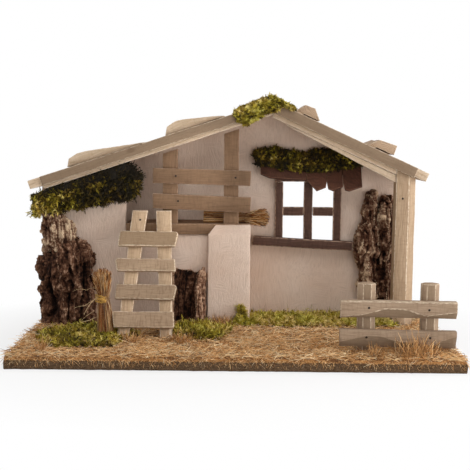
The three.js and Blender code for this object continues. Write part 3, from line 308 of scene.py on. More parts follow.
@dataclass(frozen=True)
class Strand:
    """A modelled strand that runs along X from 0 to 1, with unit width."""

    points: np.ndarray
    faces: np.ndarray

    @classmethod
    def of(cls, piece: bpy.types.Object) -> "Strand":
        """Takes the strand's shape from a modelled piece and removes the piece.

        Args:
            piece: The modelled strand.

        Returns:
            The strand's vertices and triangles.
        """
        apply_modifier(piece, "TRIANGULATE")
        faces = np.array([list(face.vertices) for face in piece.data.polygons])
        strand = cls(points_of(piece), faces)
        bpy.data.objects.remove(piece)
        return strand

    def copies(
        self, name: str, roots: np.ndarray, reaches: np.ndarray, bends: np.ndarray,
        widths: np.ndarray, tones: np.ndarray, seed: int,
    ) -> bpy.types.Object:
        """Lays bent copies of the strand, each with its own mesh, in one piece.

        Args:
            name: The piece's name.
            roots: Where each copy starts.
            reaches: The vector from each copy's root to its unbent tip.
            bends: How far each tip is bent aside.
            widths: Each copy's width.
            tones: Each copy's place in the finish's range of colours.
            seed: Turns the copies about themselves.

        Returns:
            The piece, with the attributes along and tone.
        """
        chance = np.random.default_rng(seed)
        count = len(roots)
        forward = reaches / np.linalg.norm(reaches, axis=1, keepdims=True)
        side = np.cross(forward, chance.normal(size=(count, 3)))
        side /= np.linalg.norm(side, axis=1, keepdims=True)
        across = np.cross(forward, side)
        x, y, z = self.points.T
        share = x[None, :, None]
        section = side[:, None] * y[None, :, None] + across[:, None] * z[None, :, None]
        points = roots[:, None] + reaches[:, None] * share + bends[:, None] * share ** 2
        points += widths[:, None, None] * section
        faces = self.faces[None] + (np.arange(count) * len(x))[:, None, None]
        piece = mesh_piece(name, points.reshape(-1, 3), faces.reshape(-1, 3))
        write_values(piece, "along", np.tile(x, count))
        write_values(piece, "tone", np.repeat(tones, len(x)))
        return piece


def straw_strand(sides: int, parts: int, taper: float = 0.45, flatness: float = 0.7) -> Strand:
    """Models one stalk: a tube that thins to its cut tip.

    Args:
        sides: The faces round it.
        parts: The lengths that it can bend between.
        taper: The share of its width that it loses by its tip.
        flatness: Its thickness as a share of its width.

    Returns:
        The strand.
    """
    bpy.ops.object.select_all(action="DESELECT")
    bpy.ops.mesh.primitive_cylinder_add(
        vertices=sides, radius=0.5, depth=1, location=(0.5, 0, 0), rotation=(0, math.pi / 2, 0),
    )
    piece = bpy.context.object
    bpy.ops.object.transform_apply(location=True, rotation=True, scale=True)
    slice_across(piece, ALONG_X, 1 / parts)
    points = points_of(piece)
    points[:, 1:] *= 1 - taper * points[:, :1]
    points[:, 2] *= flatness
    place_points(piece, points)
    return Strand.of(piece)


def moss_sprig(leaves: int, leaf: float, spread: float) -> Strand:
    """Models one sprig of moss: a thin stem with small pointed leaves in turn round it.

    Args:
        leaves: How many leaves stand along the stem.
        leaf: A leaf's length, as a share of the stem's.
        spread: How far the leaves stand off the stem, in stem widths.

    Returns:
        The strand.
    """
    bpy.ops.object.select_all(action="DESELECT")
    bpy.ops.mesh.primitive_cone_add(
        vertices=3, radius1=0.5, radius2=0.1, depth=1, location=(0.5, 0, 0), rotation=(0, math.pi / 2, 0),
    )
    stem = bpy.context.object
    bpy.ops.object.transform_apply(location=True, rotation=True, scale=True)
    slice_across(stem, ALONG_X, 1 / 2)
    parts = [stem]
    golden_turn, first_at, leafed, half_width, half_thickness = 2.4, 0.15, 0.8, 0.9, 0.35
    for index in range(leaves):
        turn = index * golden_turn
        at = first_at + leafed * index / leaves
        # Leaves grow smaller towards the tip.
        size = leaf * (1.1 - 0.5 * index / leaves)
        bpy.ops.mesh.primitive_cone_add(
            vertices=3, radius1=1, radius2=0, depth=1, location=(0, 0, 0.5), end_fill_type="NOTHING",
        )
        blade = bpy.context.object
        bpy.ops.object.transform_apply(location=True, rotation=True, scale=True)
        points = points_of(blade)
        rise = points[:, 2].copy()
        swing = points[:, 0] * half_width
        out = rise * spread + points[:, 1] * half_thickness
        points[:, 0] = at + rise * size
        points[:, 1] = out * math.cos(turn) - swing * math.sin(turn)
        points[:, 2] = out * math.sin(turn) + swing * math.cos(turn)
        place_points(blade, points)
        parts.append(blade)
    sprig = join(parts, "sprig")
    return Strand.of(sprig)


def colour(code: int) -> tuple[float, float, float, float]:
    """Turns an sRGB hex value to the linear colour that a shader takes.

    Args:
        code: The colour as 0xRRGGBB.

    Returns:
        Linear red, green, blue and an alpha of 1.
    """
    parts = [((code >> shift) & 255) / 255 for shift in (16, 8, 0)]
    linear = [part / 12.92 if part <= 0.04045 else ((part + 0.055) / 1.055) ** 2.4 for part in parts]
    return (*linear, 1.0)


def add_node(
    tree: bpy.types.NodeTree, kind: str, inputs: dict[str | int, object] | None = None,
    output: str | int | None = None, stops: Sequence[tuple[float, int]] = (), **settings: object,
) -> bpy.types.Node | bpy.types.NodeSocket:
    """Adds a shader node with its settings, values and links.

    Args:
        tree: The node tree.
        kind: The node's type without its ShaderNode prefix.
        inputs: Values, or sockets to link from, by input name or number.
        output: The output to hand back, by name or number, or None for the node itself.
        stops: A colour ramp's places from 0 to 1, each with an sRGB colour.
        settings: The node's own settings by name.

    Returns:
        The output's socket, or the node.
    """
    node = tree.nodes.new(f"ShaderNode{kind}")
    for key, value in settings.items():
        setattr(node, key, value)
    for key, value in (inputs or {}).items():
        if isinstance(value, bpy.types.NodeSocket):
            tree.links.new(value, node.inputs[key])
        else:
            node.inputs[key].default_value = value
    if stops:
        elements = node.color_ramp.elements
        while len(elements) < len(stops):
            elements.new(0.5)
        for element, (place, code) in zip(elements, stops):
            element.position = place
            element.color = colour(code)
    return node if output is None else node.outputs[output]


def new_material(name: str) -> tuple[bpy.types.Material, bpy.types.NodeTree]:
    """Starts a material with an empty node tree.

    Args:
        name: The finish's name.

    Returns:
        The material and its tree.
    """
    material = bpy.data.materials.new(name)
    material.use_nodes = True
    material.node_tree.nodes.clear()
    return material, material.node_tree


def place_in_mm(tree: bpy.types.NodeTree) -> bpy.types.NodeSocket:
    """Returns the socket of a point's own place on the stable, in millimetres."""
    place = add_node(tree, "TexCoord", output="Object")
    return add_node(tree, "VectorMath", {0: place, 1: (1 / MM, 1 / MM, 1 / MM)}, 0, operation="MULTIPLY")


def grains(
    tree: bpy.types.NodeTree, place: bpy.types.NodeSocket,
    patterns: Sequence[tuple[tuple[float, float, float], float, float]],
) -> list[bpy.types.NodeSocket]:
    """Draws grainy patterns over one place, each stretched in its own way.

    Args:
        tree: The node tree.
        place: The place in millimetres.
        patterns: Each one's waves per millimetre along the three axes, its detail and its distortion.

    Returns:
        Each pattern's strength, from 0 to 1.
    """
    strengths = []
    for waves, detail, distortion in patterns:
        stretched = add_node(tree, "VectorMath", {0: place, 1: waves}, 0, operation="MULTIPLY")
        values = {"Vector": stretched, "Scale": 1.0, "Detail": detail, "Distortion": distortion}
        strengths.append(add_node(tree, "TexNoise", values, 0))
    return strengths


def painted(
    tree: bpy.types.NodeTree, base: object, coats: Sequence[tuple[object, float, float, float, int]],
) -> bpy.types.NodeSocket:
    """Lays coats over a base colour, each where its own pattern rises from low to high.

    Args:
        tree: The node tree.
        base: The colour underneath.
        coats: Each coat's pattern, its low, its high, its greatest share and its sRGB colour.

    Returns:
        The colour's socket.
    """
    for pattern, low, high, most, code in coats:
        share = add_node(tree, "MapRange", {0: pattern, 1: low, 2: high, 4: most}, 0)
        base = add_node(tree, "Mix", {0: share, 6: base, 7: colour(code)}, 2, data_type="RGBA")
    return base


def surface(
    tree: bpy.types.NodeTree, base: object, roughness: object, height: object, depth_mm: float,
    **fixed: float,
) -> None:
    """Closes a material with its shader, its bump and its output.

    Args:
        tree: The node tree.
        base: The colour.
        roughness: The roughness.
        height: The bump's height from 0 to 1.
        depth_mm: The height of a full bump, in millimetres.
        fixed: Further shader values, with underscores for spaces.
    """
    bump = add_node(tree, "Bump", {"Strength": 1.0, "Distance": depth_mm * MM, "Height": height}, 0)
    values = {key.replace("_", " "): value for key, value in fixed.items()}
    shader = add_node(
        tree, "BsdfPrincipled", {"Base Color": base, "Roughness": roughness, "Normal": bump, **values}, 0,
    )
    add_node(tree, "OutputMaterial", {"Surface": shader})


@dataclass(frozen=True)
class SawnPine:
    """Spruce or pine as it comes off the saw: matt, with growth rings, fibres and a few knots.

    Its pattern reads the attribute grain, in millimetres along and across the fibres, so that every piece
    has its own stretch of wood, and the attributes work (pale edge, end grain, tone) and the aged mark. The
    pale edges are partly wear and partly painted highlight; the aged colour is weathering on some faces and
    painted shade on others.
    """

    name: str
    pale: int
    warm: int
    dark: int
    edge: int
    end: int
    aged_and_shaded: int
    ring_mm: float = 3.4
    end_ring_mm: float = 2.38
    saw_mm: float = 1.7
    saw_depth: float = 0.35
    stain: float = 0.35
    knots: float = 0.75
    knot_brown: int = 0x5A3A22
    ring_share: float = 0.6
    fibre_share: float = 0.6
    speck_share: float = 0.5
    aged_and_shaded_share: float = 0.66
    worn_and_highlit: float = 0.8
    roughness: float = 0.78
    bump_mm: float = 0.45
    # A wave's band is 0.314 of a unit wide, so this over a width gives that width from ring to ring.
    band: float = 0.314

    def material(self) -> bpy.types.Material:
        """Builds the material.

        Returns:
            The material.
        """
        material, tree = new_material(self.name)
        grain = add_node(tree, "Attribute", output="Vector", attribute_name="grain")
        marks = add_node(tree, "Attribute", output="Vector", attribute_name="work")
        aged_and_shaded = add_node(tree, "Attribute", output="Fac", attribute_name="aged_and_shaded")
        worn_and_highlit, cut_end, tone = add_node(tree, "SeparateXYZ", {0: marks}).outputs
        shifted = self._wandering(tree, grain)
        rings, end_rings, knot = self._growth(tree, shifted)
        # Fibres are drawn 0.7 mm wide, coarser than real ones, so that they show. Dark patches are
        # some 20 mm wide, the saw's short strokes run saw_mm apart and some 8 mm long, and specks
        # of resin and dirt are about 1 mm across.
        fibres, patches, saw, specks = grains(tree, grain, (
            ((0.06, 1.4, 1.4), 3.0, 0.0),
            ((0.014, 0.05, 0.05), 3.0, 0.0),
            ((0.7 / self.saw_mm, 0.09, 0.09), 2.0, 0.4),
            ((0.25, 0.9, 0.9), 2.0, 0.0),
        ))
        base = painted(tree, colour(self.pale), (
            (rings, 0.3, 1.0, self.ring_share, self.warm),
            (fibres, 0.5, 0.78, self.fibre_share, self.dark),
            (patches, 0.45, 0.75, self.stain, self.dark),
            (specks, 0.68, 0.76, self.speck_share, self.dark),
            (knot, 0.0, 1.0, 1.0, self.knot_brown),
            (saw, 0.48, 0.72, self.saw_depth, self.dark),
        ))
        end = painted(tree, colour(self.end), ((end_rings, 0.3, 1.0, 1.0, self.warm),))
        base = add_node(tree, "Mix", {0: cut_end, 6: base, 7: end}, 2, data_type="RGBA")
        # Edges are painted pale, partly as wear and partly as painted highlight, broken up by the specks.
        edge_breakup = add_node(tree, "MapRange", {0: specks, 1: 0.35, 2: 0.6}, 0)
        edges = add_node(tree, "Math", {0: worn_and_highlit, 1: edge_breakup}, 0, operation="MULTIPLY")
        # Aged faces take a colour that is weathering on some pieces and painted shade on others.
        base = painted(tree, base, (
            (aged_and_shaded, 0.0, 1.0, self.aged_and_shaded_share, self.aged_and_shaded),
            (edges, 0.0, 1.0, self.worn_and_highlit, self.edge),
        ))
        value = add_node(tree, "MapRange", {0: tone, 3: 0.84, 4: 1.12}, 0)
        base = add_node(tree, "HueSaturation", {"Value": value, "Color": base}, 0)
        height = 0.0
        for pattern, weight in ((fibres, 0.7), (rings, 0.25), (saw, self.saw_depth), (knot, -0.4)):
            parts = {0: pattern, 1: weight, 2: height}
            height = add_node(tree, "Math", parts, 0, operation="MULTIPLY_ADD")
        rough = add_node(tree, "MapRange", {
            0: fibres, 1: 0.3, 2: 0.7, 3: self.roughness - 0.08, 4: self.roughness + 0.1,
        }, 0)
        surface(tree, base, rough, height, self.bump_mm, Specular_IOR_Level=0.3)
        return material

    @staticmethod
    def _wandering(tree: bpy.types.NodeTree, grain: bpy.types.NodeSocket) -> bpy.types.NodeSocket:
        """Lets the rings wander across the fibres by a few millimetres along the board.

        Args:
            tree: The node tree.
            grain: The place along and across the fibres, in millimetres.

        Returns:
            The wandering place's socket.
        """
        slow = add_node(tree, "VectorMath", {0: grain, 1: (0.012, 0.05, 0.05)}, 0, operation="MULTIPLY")
        wander = add_node(tree, "TexNoise", {"Vector": slow, "Scale": 1.0, "Detail": 2.0}, 1)
        sway = {0: wander, 1: (0.0, 26.0, 15.0), 2: grain}
        return add_node(tree, "VectorMath", sway, 0, operation="MULTIPLY_ADD")

    def _growth(
        self, tree: bpy.types.NodeTree, shifted: bpy.types.NodeSocket,
    ) -> tuple[bpy.types.NodeSocket, bpy.types.NodeSocket, bpy.types.NodeSocket]:
        """Draws what the tree grew: its rings on the long faces and on the ends, and its knots.

        Args:
            tree: The node tree.
            shifted: The wandering place in millimetres.

        Returns:
            The sockets of the rings, of the end grain's rings and of the knots.
        """
        lengthwise, endwise, sparse = (
            add_node(tree, "VectorMath", {0: shifted, 1: waves}, 0, operation="MULTIPLY")
            for waves in ((0.02, 1.0, 0.45), (0.0, 1.0, 1.0), (0.013, 0.028, 0.028))
        )
        rings = add_node(tree, "TexWave", {
            "Vector": lengthwise, "Scale": self.band / self.ring_mm,
            "Distortion": 2.5, "Detail": 2.0, "Detail Scale": 1.5,
        }, "Fac", bands_direction="Y")
        end_rings = add_node(tree, "TexWave", {
            "Vector": endwise, "Scale": self.band / self.end_ring_mm, "Distortion": 1.0,
        }, "Fac", wave_type="RINGS", rings_direction="X")
        spots = add_node(tree, "TexVoronoi", {"Vector": sparse, "Scale": 1.0}, "Distance")
        knot = add_node(tree, "MapRange", {0: spots, 1: 0.10, 2: 0.04, 4: self.knots}, 0)
        return rings, end_rings, knot


@dataclass(frozen=True)
class LimePlaster:
    """Lime plaster put on with a stiff brush: matt, warm white, streaked and a little gritty."""

    name: str
    base: int
    shade: int
    warm: int
    bump_mm: float = 0.85

    def material(self) -> bpy.types.Material:
        """Builds the material.

        Returns:
            The material.
        """
        material, tree = new_material(self.name)
        mm = place_in_mm(tree)
        turn = add_node(tree, "TexNoise", {"Vector": mm, "Scale": 0.012, "Detail": 1.0}, 1)
        sway = {0: turn, 1: (40.0, 40.0, 40.0), 2: mm}
        bent = add_node(tree, "VectorMath", sway, 0, operation="MULTIPLY_ADD")
        # Brush hairs leave strokes about 1.2 mm wide and some 20 mm long, in two directions.
        upright, level = grains(tree, bent, (((0.8, 0.8, 0.05), 2.0, 0.0), ((0.06, 0.06, 0.7), 2.0, 0.0)))
        # The brush turns every 30 mm or so, grit is 1 mm, and warm patches are about 50 mm wide.
        where, grit, patches = grains(tree, mm, (
            ((0.03, 0.03, 0.03), 2.0, 0.0), ((0.9, 0.9, 0.9), 3.0, 0.0), ((0.018, 0.018, 0.025), 3.0, 0.0),
        ))
        turned = add_node(tree, "MapRange", {0: where, 1: 0.55, 2: 0.68}, 0)
        strokes = add_node(tree, "Mix", {0: turned, 2: upright, 3: level}, 0)
        base = painted(tree, colour(self.base), (
            (patches, 0.35, 0.7, 1.0, self.warm),
            (strokes, 0.45, 0.8, 0.5, self.shade),
            (grit, 0.6, 0.75, 0.35, self.shade),
        ))
        height = add_node(tree, "Math", {0: grit, 1: 0.35, 2: strokes}, 0, operation="MULTIPLY_ADD")
        surface(tree, base, 0.9, height, self.bump_mm, Specular_IOR_Level=0.25)
        return material


@dataclass(frozen=True)
class CorkBark:
    """Cork oak bark: dead matt, near black in its fissures, tan to cream on its ridges and where they
    break.

    It reads the attributes relief, 0 at the bottom of a fissure and 1 on a ridge, and crest. The colours
    that follow the relief are partly the bark's own and partly painted shade in the fissures and painted
    highlight on the ridges.
    """

    name: str
    fissure: int
    body: int
    plate: int
    ridge: int
    broken: float
    crest: float
    bump_mm: float = 1.2

    def material(self) -> bpy.types.Material:
        """Builds the material.

        Returns:
            The material.
        """
        material, tree = new_material(self.name)
        relief, crest = (
            add_node(tree, "Attribute", output="Fac", attribute_name=name) for name in ("relief", "crest")
        )
        # Growth layers are about 1.3 mm thick and lie along the trunk; crumbs are 2 mm across, and
        # patches where more of them break are 20 mm across.
        layers, crumbs, patches = grains(tree, place_in_mm(tree), (
            ((0.8, 0.8, 0.14), 4.0, 1.0), ((0.6, 0.6, 0.6), 4.0, 0.0), ((0.05, 0.05, 0.05), 2.0, 0.0),
        ))
        lowered = add_node(tree, "Math", {0: relief, 1: 0.45}, 0, operation="SUBTRACT")
        height = add_node(tree, "Math", {0: layers, 1: 0.9, 2: lowered}, 0, operation="MULTIPLY_ADD")
        # Colour follows the relief: darker in the fissures and paler on the ridges, partly the bark's own
        # colour and partly painted shade and painted highlight.
        stops = ((0.2, self.fissure), (0.5, self.body), (0.8, self.plate), (1.0, self.ridge))
        base = add_node(tree, "ValToRGB", {0: height}, 0, stops)
        pale = self.broken
        for pattern, low, high in ((crumbs, 0.55, 0.68), (patches, 0.45, 0.6), (relief, 0.45, 0.75)):
            share = add_node(tree, "MapRange", {0: pattern, 1: low, 2: high}, 0)
            pale = add_node(tree, "Math", {0: share, 1: pale}, 0, operation="MULTIPLY")
        # Where a ridge has broken, its thin crest is pale, interrupted every few millimetres.
        whole = add_node(tree, "MapRange", {0: crumbs, 1: 0.38, 2: 0.55}, 0)
        crest = add_node(tree, "Math", {0: crest, 1: whole}, 0, operation="MULTIPLY")
        crest = add_node(tree, "MapRange", {0: crest, 1: 0.35, 2: 0.8, 4: self.crest}, 0)
        broken = add_node(tree, "Math", {0: pale, 1: crest}, 0, operation="MAXIMUM")
        base = painted(tree, base, ((broken, 0.0, 1.0, 1.0, self.ridge),))
        grain = add_node(tree, "Math", {0: crumbs, 1: 0.6, 2: layers}, 0, operation="MULTIPLY_ADD")
        surface(tree, base, 0.95, grain, self.bump_mm, Specular_IOR_Level=0.15)
        return material


@dataclass(frozen=True)
class DryGrowth:
    """Dried stalks or moss: each strand has its tone, painted darker towards its root as painted shade, and
    paler at its tip.

    It reads the attributes tone, a strand's place in the range of colours, and along.
    """

    name: str
    tones: tuple[int, ...]
    root_shade: int
    root_share: float
    roughness: float
    fibre_mm: float = 0.6
    tint: int = 0xFFFFFF
    tint_share: float = 0.0
    clump_mm: float = 12.0
    speckle: float = 0.35
    bump_mm: float = 0.15

    def material(self) -> bpy.types.Material:
        """Builds the material.

        Returns:
            The material.
        """
        material, tree = new_material(self.name)
        tone, along = (
            add_node(tree, "Attribute", output="Fac", attribute_name=name) for name in ("tone", "along")
        )
        # A wave spans a dark and a pale place, so it's twice a clump and four fibres long.
        fine, coarse = 1 / (4 * self.fibre_mm), 1 / (2 * self.clump_mm)
        speckles, clumps = grains(tree, place_in_mm(tree), (
            ((fine, fine, fine), 2.0, 0.0), ((coarse, coarse, coarse), 2.0, 0.0),
        ))
        darker = add_node(tree, "Math", {0: tone, 1: self.speckle / 2}, 0, operation="SUBTRACT")
        parts = {0: speckles, 1: self.speckle, 2: darker}
        mixed = add_node(tree, "Math", parts, 0, operation="MULTIPLY_ADD")
        last = len(self.tones) - 1
        stops = [(index / last, code) for index, code in enumerate(self.tones)]
        base = add_node(tree, "ValToRGB", {0: mixed}, 0, stops)
        # Living growth dries greener in some clumps than in others.
        share = add_node(tree, "MapRange", {0: clumps, 1: 0.4, 2: 0.6, 4: self.tint_share}, 0)
        tinted = {0: share, 6: base, 7: colour(self.tint)}
        base = add_node(tree, "Mix", tinted, 2, data_type="RGBA", blend_type="MULTIPLY")
        # Each strand is painted darker towards its root: painted shade where the strands crowd.
        base = painted(tree, base, ((along, 0.55, 0.0, self.root_share, self.root_shade),))
        surface(tree, base, self.roughness, speckles, self.bump_mm, Specular_IOR_Level=0.3)
        return material


@dataclass(frozen=True)
class FibreBoard:
    """Soft wood-fibre board: dark brown felted fibres, torn along its sawn edge."""

    name: str
    base: int
    dark: int
    fibre: int
    bump_mm: float = 0.9

    def material(self) -> bpy.types.Material:
        """Builds the material.

        Returns:
            The material.
        """
        material, tree = new_material(self.name)
        # Felted fibres lie level, about 0.8 mm thick and 8 mm long, with crumbs of 1 mm.
        felt, crumbs = grains(tree, place_in_mm(tree), (
            ((0.25, 0.25, 1.2), 4.0, 0.8), ((0.8, 0.8, 0.8), 3.0, 0.0),
        ))
        base = painted(tree, colour(self.dark), (
            (felt, 0.4, 0.7, 1.0, self.base), (crumbs, 0.62, 0.72, 1.0, self.fibre),
        ))
        height = add_node(tree, "Math", {0: crumbs, 1: 0.6, 2: felt}, 0, operation="MULTIPLY_ADD")
        surface(tree, base, 0.95, height, self.bump_mm, Specular_IOR_Level=0.2)
        return material


@dataclass(frozen=True)
class NailSteel:
    """Bare steel wire nails, dulled by a skin of rust."""

    name: str
    base: int
    rust: int
    bump_mm: float = 0.05

    def material(self) -> bpy.types.Material:
        """Builds the material.

        Returns:
            The material.
        """
        material, tree = new_material(self.name)
        # Blotches of rust are a third of a millimetre across.
        blotches, = grains(tree, place_in_mm(tree), (((1.5, 1.5, 1.5), 2.0, 0.0),))
        base = painted(tree, colour(self.base), ((blotches, 0.4, 0.6, 1.0, self.rust),))
        surface(tree, base, 0.5, blotches, self.bump_mm, Metallic=0.6)
        return material


@dataclass(frozen=True)
class Finishes:
    """Every finish of the stable, built once."""

    # Freshly sawn spruce: a warm matt tan with faint rings, and its edges painted nearly white, as wear and
    # as painted highlight.
    raw_pine: bpy.types.Material = field(default_factory=SawnPine(
        "raw_sawn_pine", pale=0xC0A486, warm=0xAA8E6E, dark=0x7E6045, edge=0xEBD8C0, end=0xC8AC8A,
        aged_and_shaded=0x80694F, ring_share=0.4, saw_depth=0.2, worn_and_highlit=1.0,
    ).material)
    # Spruce from a coarse saw: darker, and broken up across its fibres by the blade's strokes.
    rough_pine: bpy.types.Material = field(default_factory=SawnPine(
        "rough_sawn_pine", pale=0xB2977B, warm=0x9C8267, dark=0x735840, edge=0xE2CEB4, end=0xC0A482,
        aged_and_shaded=0x80694F, saw_mm=1.4, saw_depth=0.45, ring_share=0.3, worn_and_highlit=1.0,
    ).material)
    # Pine painted darker and browner for the loft: painted shade under the roof with a warm painted
    # reflection, even and dim, so that the loft sits back in the shade.
    brown_pine: bpy.types.Material = field(default_factory=SawnPine(
        "shaded_sawn_pine", pale=0x86684E, warm=0x745840, dark=0x503A28, edge=0xB0927A, end=0x93704C,
        aged_and_shaded=0x6A4E36, ring_share=0.25, saw_depth=0.3,
    ).material)
    # Split pale pine: the lightest wood, with clear rings and cream end grain.
    pale_pine: bpy.types.Material = field(default_factory=SawnPine(
        "pale_split_pine", pale=0xDAC2A6, warm=0xC8AC8B, dark=0x9C7D5D, edge=0xF0E2D0, end=0xEBD9C4,
        aged_and_shaded=0xA98F73, saw_depth=0.2, ring_share=0.5,
    ).material)
    # Pine left out in the weather: its warmth is gone, and only its edges stay pale, as wear and as painted
    # highlight.
    greyed_pine: bpy.types.Material = field(default_factory=SawnPine(
        "greyed_sawn_pine", pale=0xA88F76, warm=0x917860, dark=0x6A523E, edge=0xD2BDA4, end=0xB0957A,
        aged_and_shaded=0x7E6851, saw_depth=0.22, ring_share=0.25, worn_and_highlit=1.0,
    ).material)
    # Walnut stain over fine wood: near black in the grain, with pale edges that are bare worn wood and
    # painted highlight.
    stained_wood: bpy.types.Material = field(default_factory=SawnPine(
        "walnut_stained_wood", pale=0x604438, warm=0x4C342A, dark=0x2A1A12, edge=0xC0A088, end=0x5A4436,
        aged_and_shaded=0x3A2820, knots=0.2, ring_share=0.5, worn_and_highlit=1.0,
    ).material)
    # Shingles in a redder stain: warmer than the window's frame beneath them.
    stained_shingle: bpy.types.Material = field(default_factory=SawnPine(
        "red_stained_shingle", pale=0x5E3A2A, warm=0x4A2C1F, dark=0x2A170F, edge=0x9A7058, end=0x6A4634,
        aged_and_shaded=0x2E1C14, knots=0.2, ring_share=0.5,
    ).material)
    # Brushed lime plaster: chalky, with no shine, in warm white that the strokes shade.
    plaster: bpy.types.Material = field(default_factory=LimePlaster(
        "brushed_lime_plaster", base=0xE3CDBC, shade=0xBDA28E, warm=0xDABFAB,
    ).material)
    # Old cork bark: almost black in its depth and tan on its plates.
    dark_cork: bpy.types.Material = field(default_factory=CorkBark(
        "dark_cork_bark", fissure=0x170A05, body=0x462B1D, plate=0x7A5641, ridge=0xC4A084,
        broken=0.5, crest=0.5,
    ).material)
    # Cork bark that has split anew: pale cream crests stand on a dark ground.
    split_cork: bpy.types.Material = field(default_factory=CorkBark(
        "split_cork_bark", fissure=0x180A05, body=0x523222, plate=0x8C6C56, ridge=0xD4B898,
        broken=0.3, crest=0.9,
    ).material)
    # Loose chopped straw: golden, with bleached and brown stalks side by side.
    loose_straw: bpy.types.Material = field(default_factory=DryGrowth(
        "chopped_straw", (0x5C3818, 0xB88248, 0xE0AA6C, 0xF6CC92, 0xFCE6BC), root_shade=0x4A2C16,
        root_share=0.2, roughness=0.6,
    ).material)
    # Bundled straw: browner, with painted shade where the stalks crowd in the waist.
    sheaf_straw: bpy.types.Material = field(default_factory=DryGrowth(
        "bundled_straw", (0x4A2208, 0x884E1E, 0xB27436, 0xD4A060, 0xEECC9A), root_shade=0x3A1C08,
        root_share=0.6, roughness=0.5,
    ).material)
    # A tie of twisted straw: even gold, a little glossy where it's pulled tight.
    tie_straw: bpy.types.Material = field(default_factory=DryGrowth(
        "twisted_straw_tie", (0x86571F, 0xB98C3E, 0xDDB668), root_shade=0x6E4715,
        root_share=0.2, roughness=0.5,
    ).material)
    # Dried moss: dark brown at its heart, straw yellow at its tips, green in some clumps.
    moss: bpy.types.Material = field(default_factory=DryGrowth(
        "dried_moss", (0x1D1506, 0x523E10, 0x8C7322, 0xC4A840, 0xE8D084), root_shade=0x140D04,
        root_share=0.85, roughness=0.85, fibre_mm=0.8, tint=0xD4EC78, tint_share=0.6,
    ).material)
    # Torn fibre board: dull brown felt with lighter fibres standing out of its edge.
    fibre_board: bpy.types.Material = field(default_factory=FibreBoard(
        "torn_fibre_board", base=0x735B45, dark=0x483523, fibre=0xA08668,
    ).material)
    # Rusted nails: small dark dots with a faint dull glint.
    nail_steel: bpy.types.Material = field(default_factory=NailSteel(
        "rusted_nail_steel", base=0x2E241C, rust=0x20130A,
    ).material)


@dataclass
class Timber:
    """One length of sawn or split wood, shaped over its solid in the frame."""

    node: str
    grain: Grain
    edge: float = 0.7 * MM
    cut: float = 7 * MM
    drift: float = 0.35 * MM
    number: int = 0
    aged_and_shaded: Vector | None = None
    wane: Vector | None = None
    wane_depth: float = 2.8 * MM
    slow_period: float = 35 * MM
    quick_period: float = 6 * MM
    quick_share: float = 0.35
    # A face that turns further than this from every face of the solid is an edge, painted pale as wear and
    # as painted highlight.
    worn_and_highlit_turn: float = math.radians(3)
    # A face within this of the given side's direction takes the aged colour, which is weathering on some
    # pieces and painted shade on others.
    aged_and_shaded_turn: float = math.radians(25)

    def build(self, material: bpy.types.Material, slot: str) -> bpy.types.Object:
        """Rounds the solid's edges, lets it wander and marks its grain and its edges, which are painted
        pale as wear and as painted highlight.

        Args:
            material: The wood's material.
            slot: The record's material slot.

        Returns:
            The piece.
        """
        piece = copy_of(self.node, f"{self.node}_timber")
        normals = np.array([face.normal for face in piece.data.polygons])
        if self.wane:
            self._cut_wane(piece)
        apply_modifier(
            piece, "BEVEL", width=self.edge, segments=2, limit_method="ANGLE",
            angle_limit=ARRIS, use_clamp_overlap=True,
        )
        axis = np.array(self.grain.vector)
        faces = np.array([face.normal for face in piece.data.polygons])
        # Faces of the bevel are the edges, painted pale as wear and as painted highlight.
        worn_and_highlit = (faces @ normals.T).max(axis=1) < math.cos(self.worn_and_highlit_turn)
        ends = (np.abs(faces @ axis) > 0.85) & ~worn_and_highlit
        # Each number gives its own tone, spread evenly from 0 to 1.
        tone = (math.sin(self.number * 12.9898) * 43758.5453) % 1
        write_values(piece, "work", np.stack([worn_and_highlit, ends, np.full(len(faces), tone)], axis=1), "FACE")
        # Faces that look the given way take the aged colour: weathering on some pieces, painted shade on
        # others.
        if self.aged_and_shaded:
            aged_and_shaded = faces @ np.array(self.aged_and_shaded.normalized()) > math.cos(self.aged_and_shaded_turn)
            write_values(piece, "aged_and_shaded", aged_and_shaded.astype(float), "FACE")
        slice_across(piece, self.grain.vector, self.cut)
        self._mark_grain(piece)
        wobble(piece, self.drift, self.slow_period, self.number)
        wobble(piece, self.drift * self.quick_share, self.quick_period, self.number + 0.5)
        smooth(piece)
        return dress(piece, material, slot, self.node)

    def _cut_wane(self, piece: bpy.types.Object) -> None:
        """Cuts away the long edge that lies furthest towards the wane, as a log's round side does.

        Args:
            piece: The piece to cut.
        """
        away = self.wane.normalized()
        furthest = (points_of(piece) @ np.array(away)).max()
        with editing(piece):
            bpy.ops.mesh.bisect(
                plane_co=away * (furthest - self.wane_depth), plane_no=away, use_fill=True,
                clear_outer=True,
            )

    def _mark_grain(self, piece: bpy.types.Object) -> None:
        """Writes each vertex's place along and across the fibres, in millimetres.

        Args:
            piece: The piece to mark.
        """
        along = self.grain.vector
        across = along.orthogonal().normalized() if self.grain is not Grain.ACROSS else Vector((0, 0, 1))
        basis = np.array([along, across, along.cross(across)])
        points = points_of(piece)
        local = (points - points.mean(axis=0)) @ basis.T / MM
        # Each piece takes its own stretch of wood.
        write_values(piece, "grain", local + np.array([137.0, 61.0, 29.0]) * (self.number + 1))


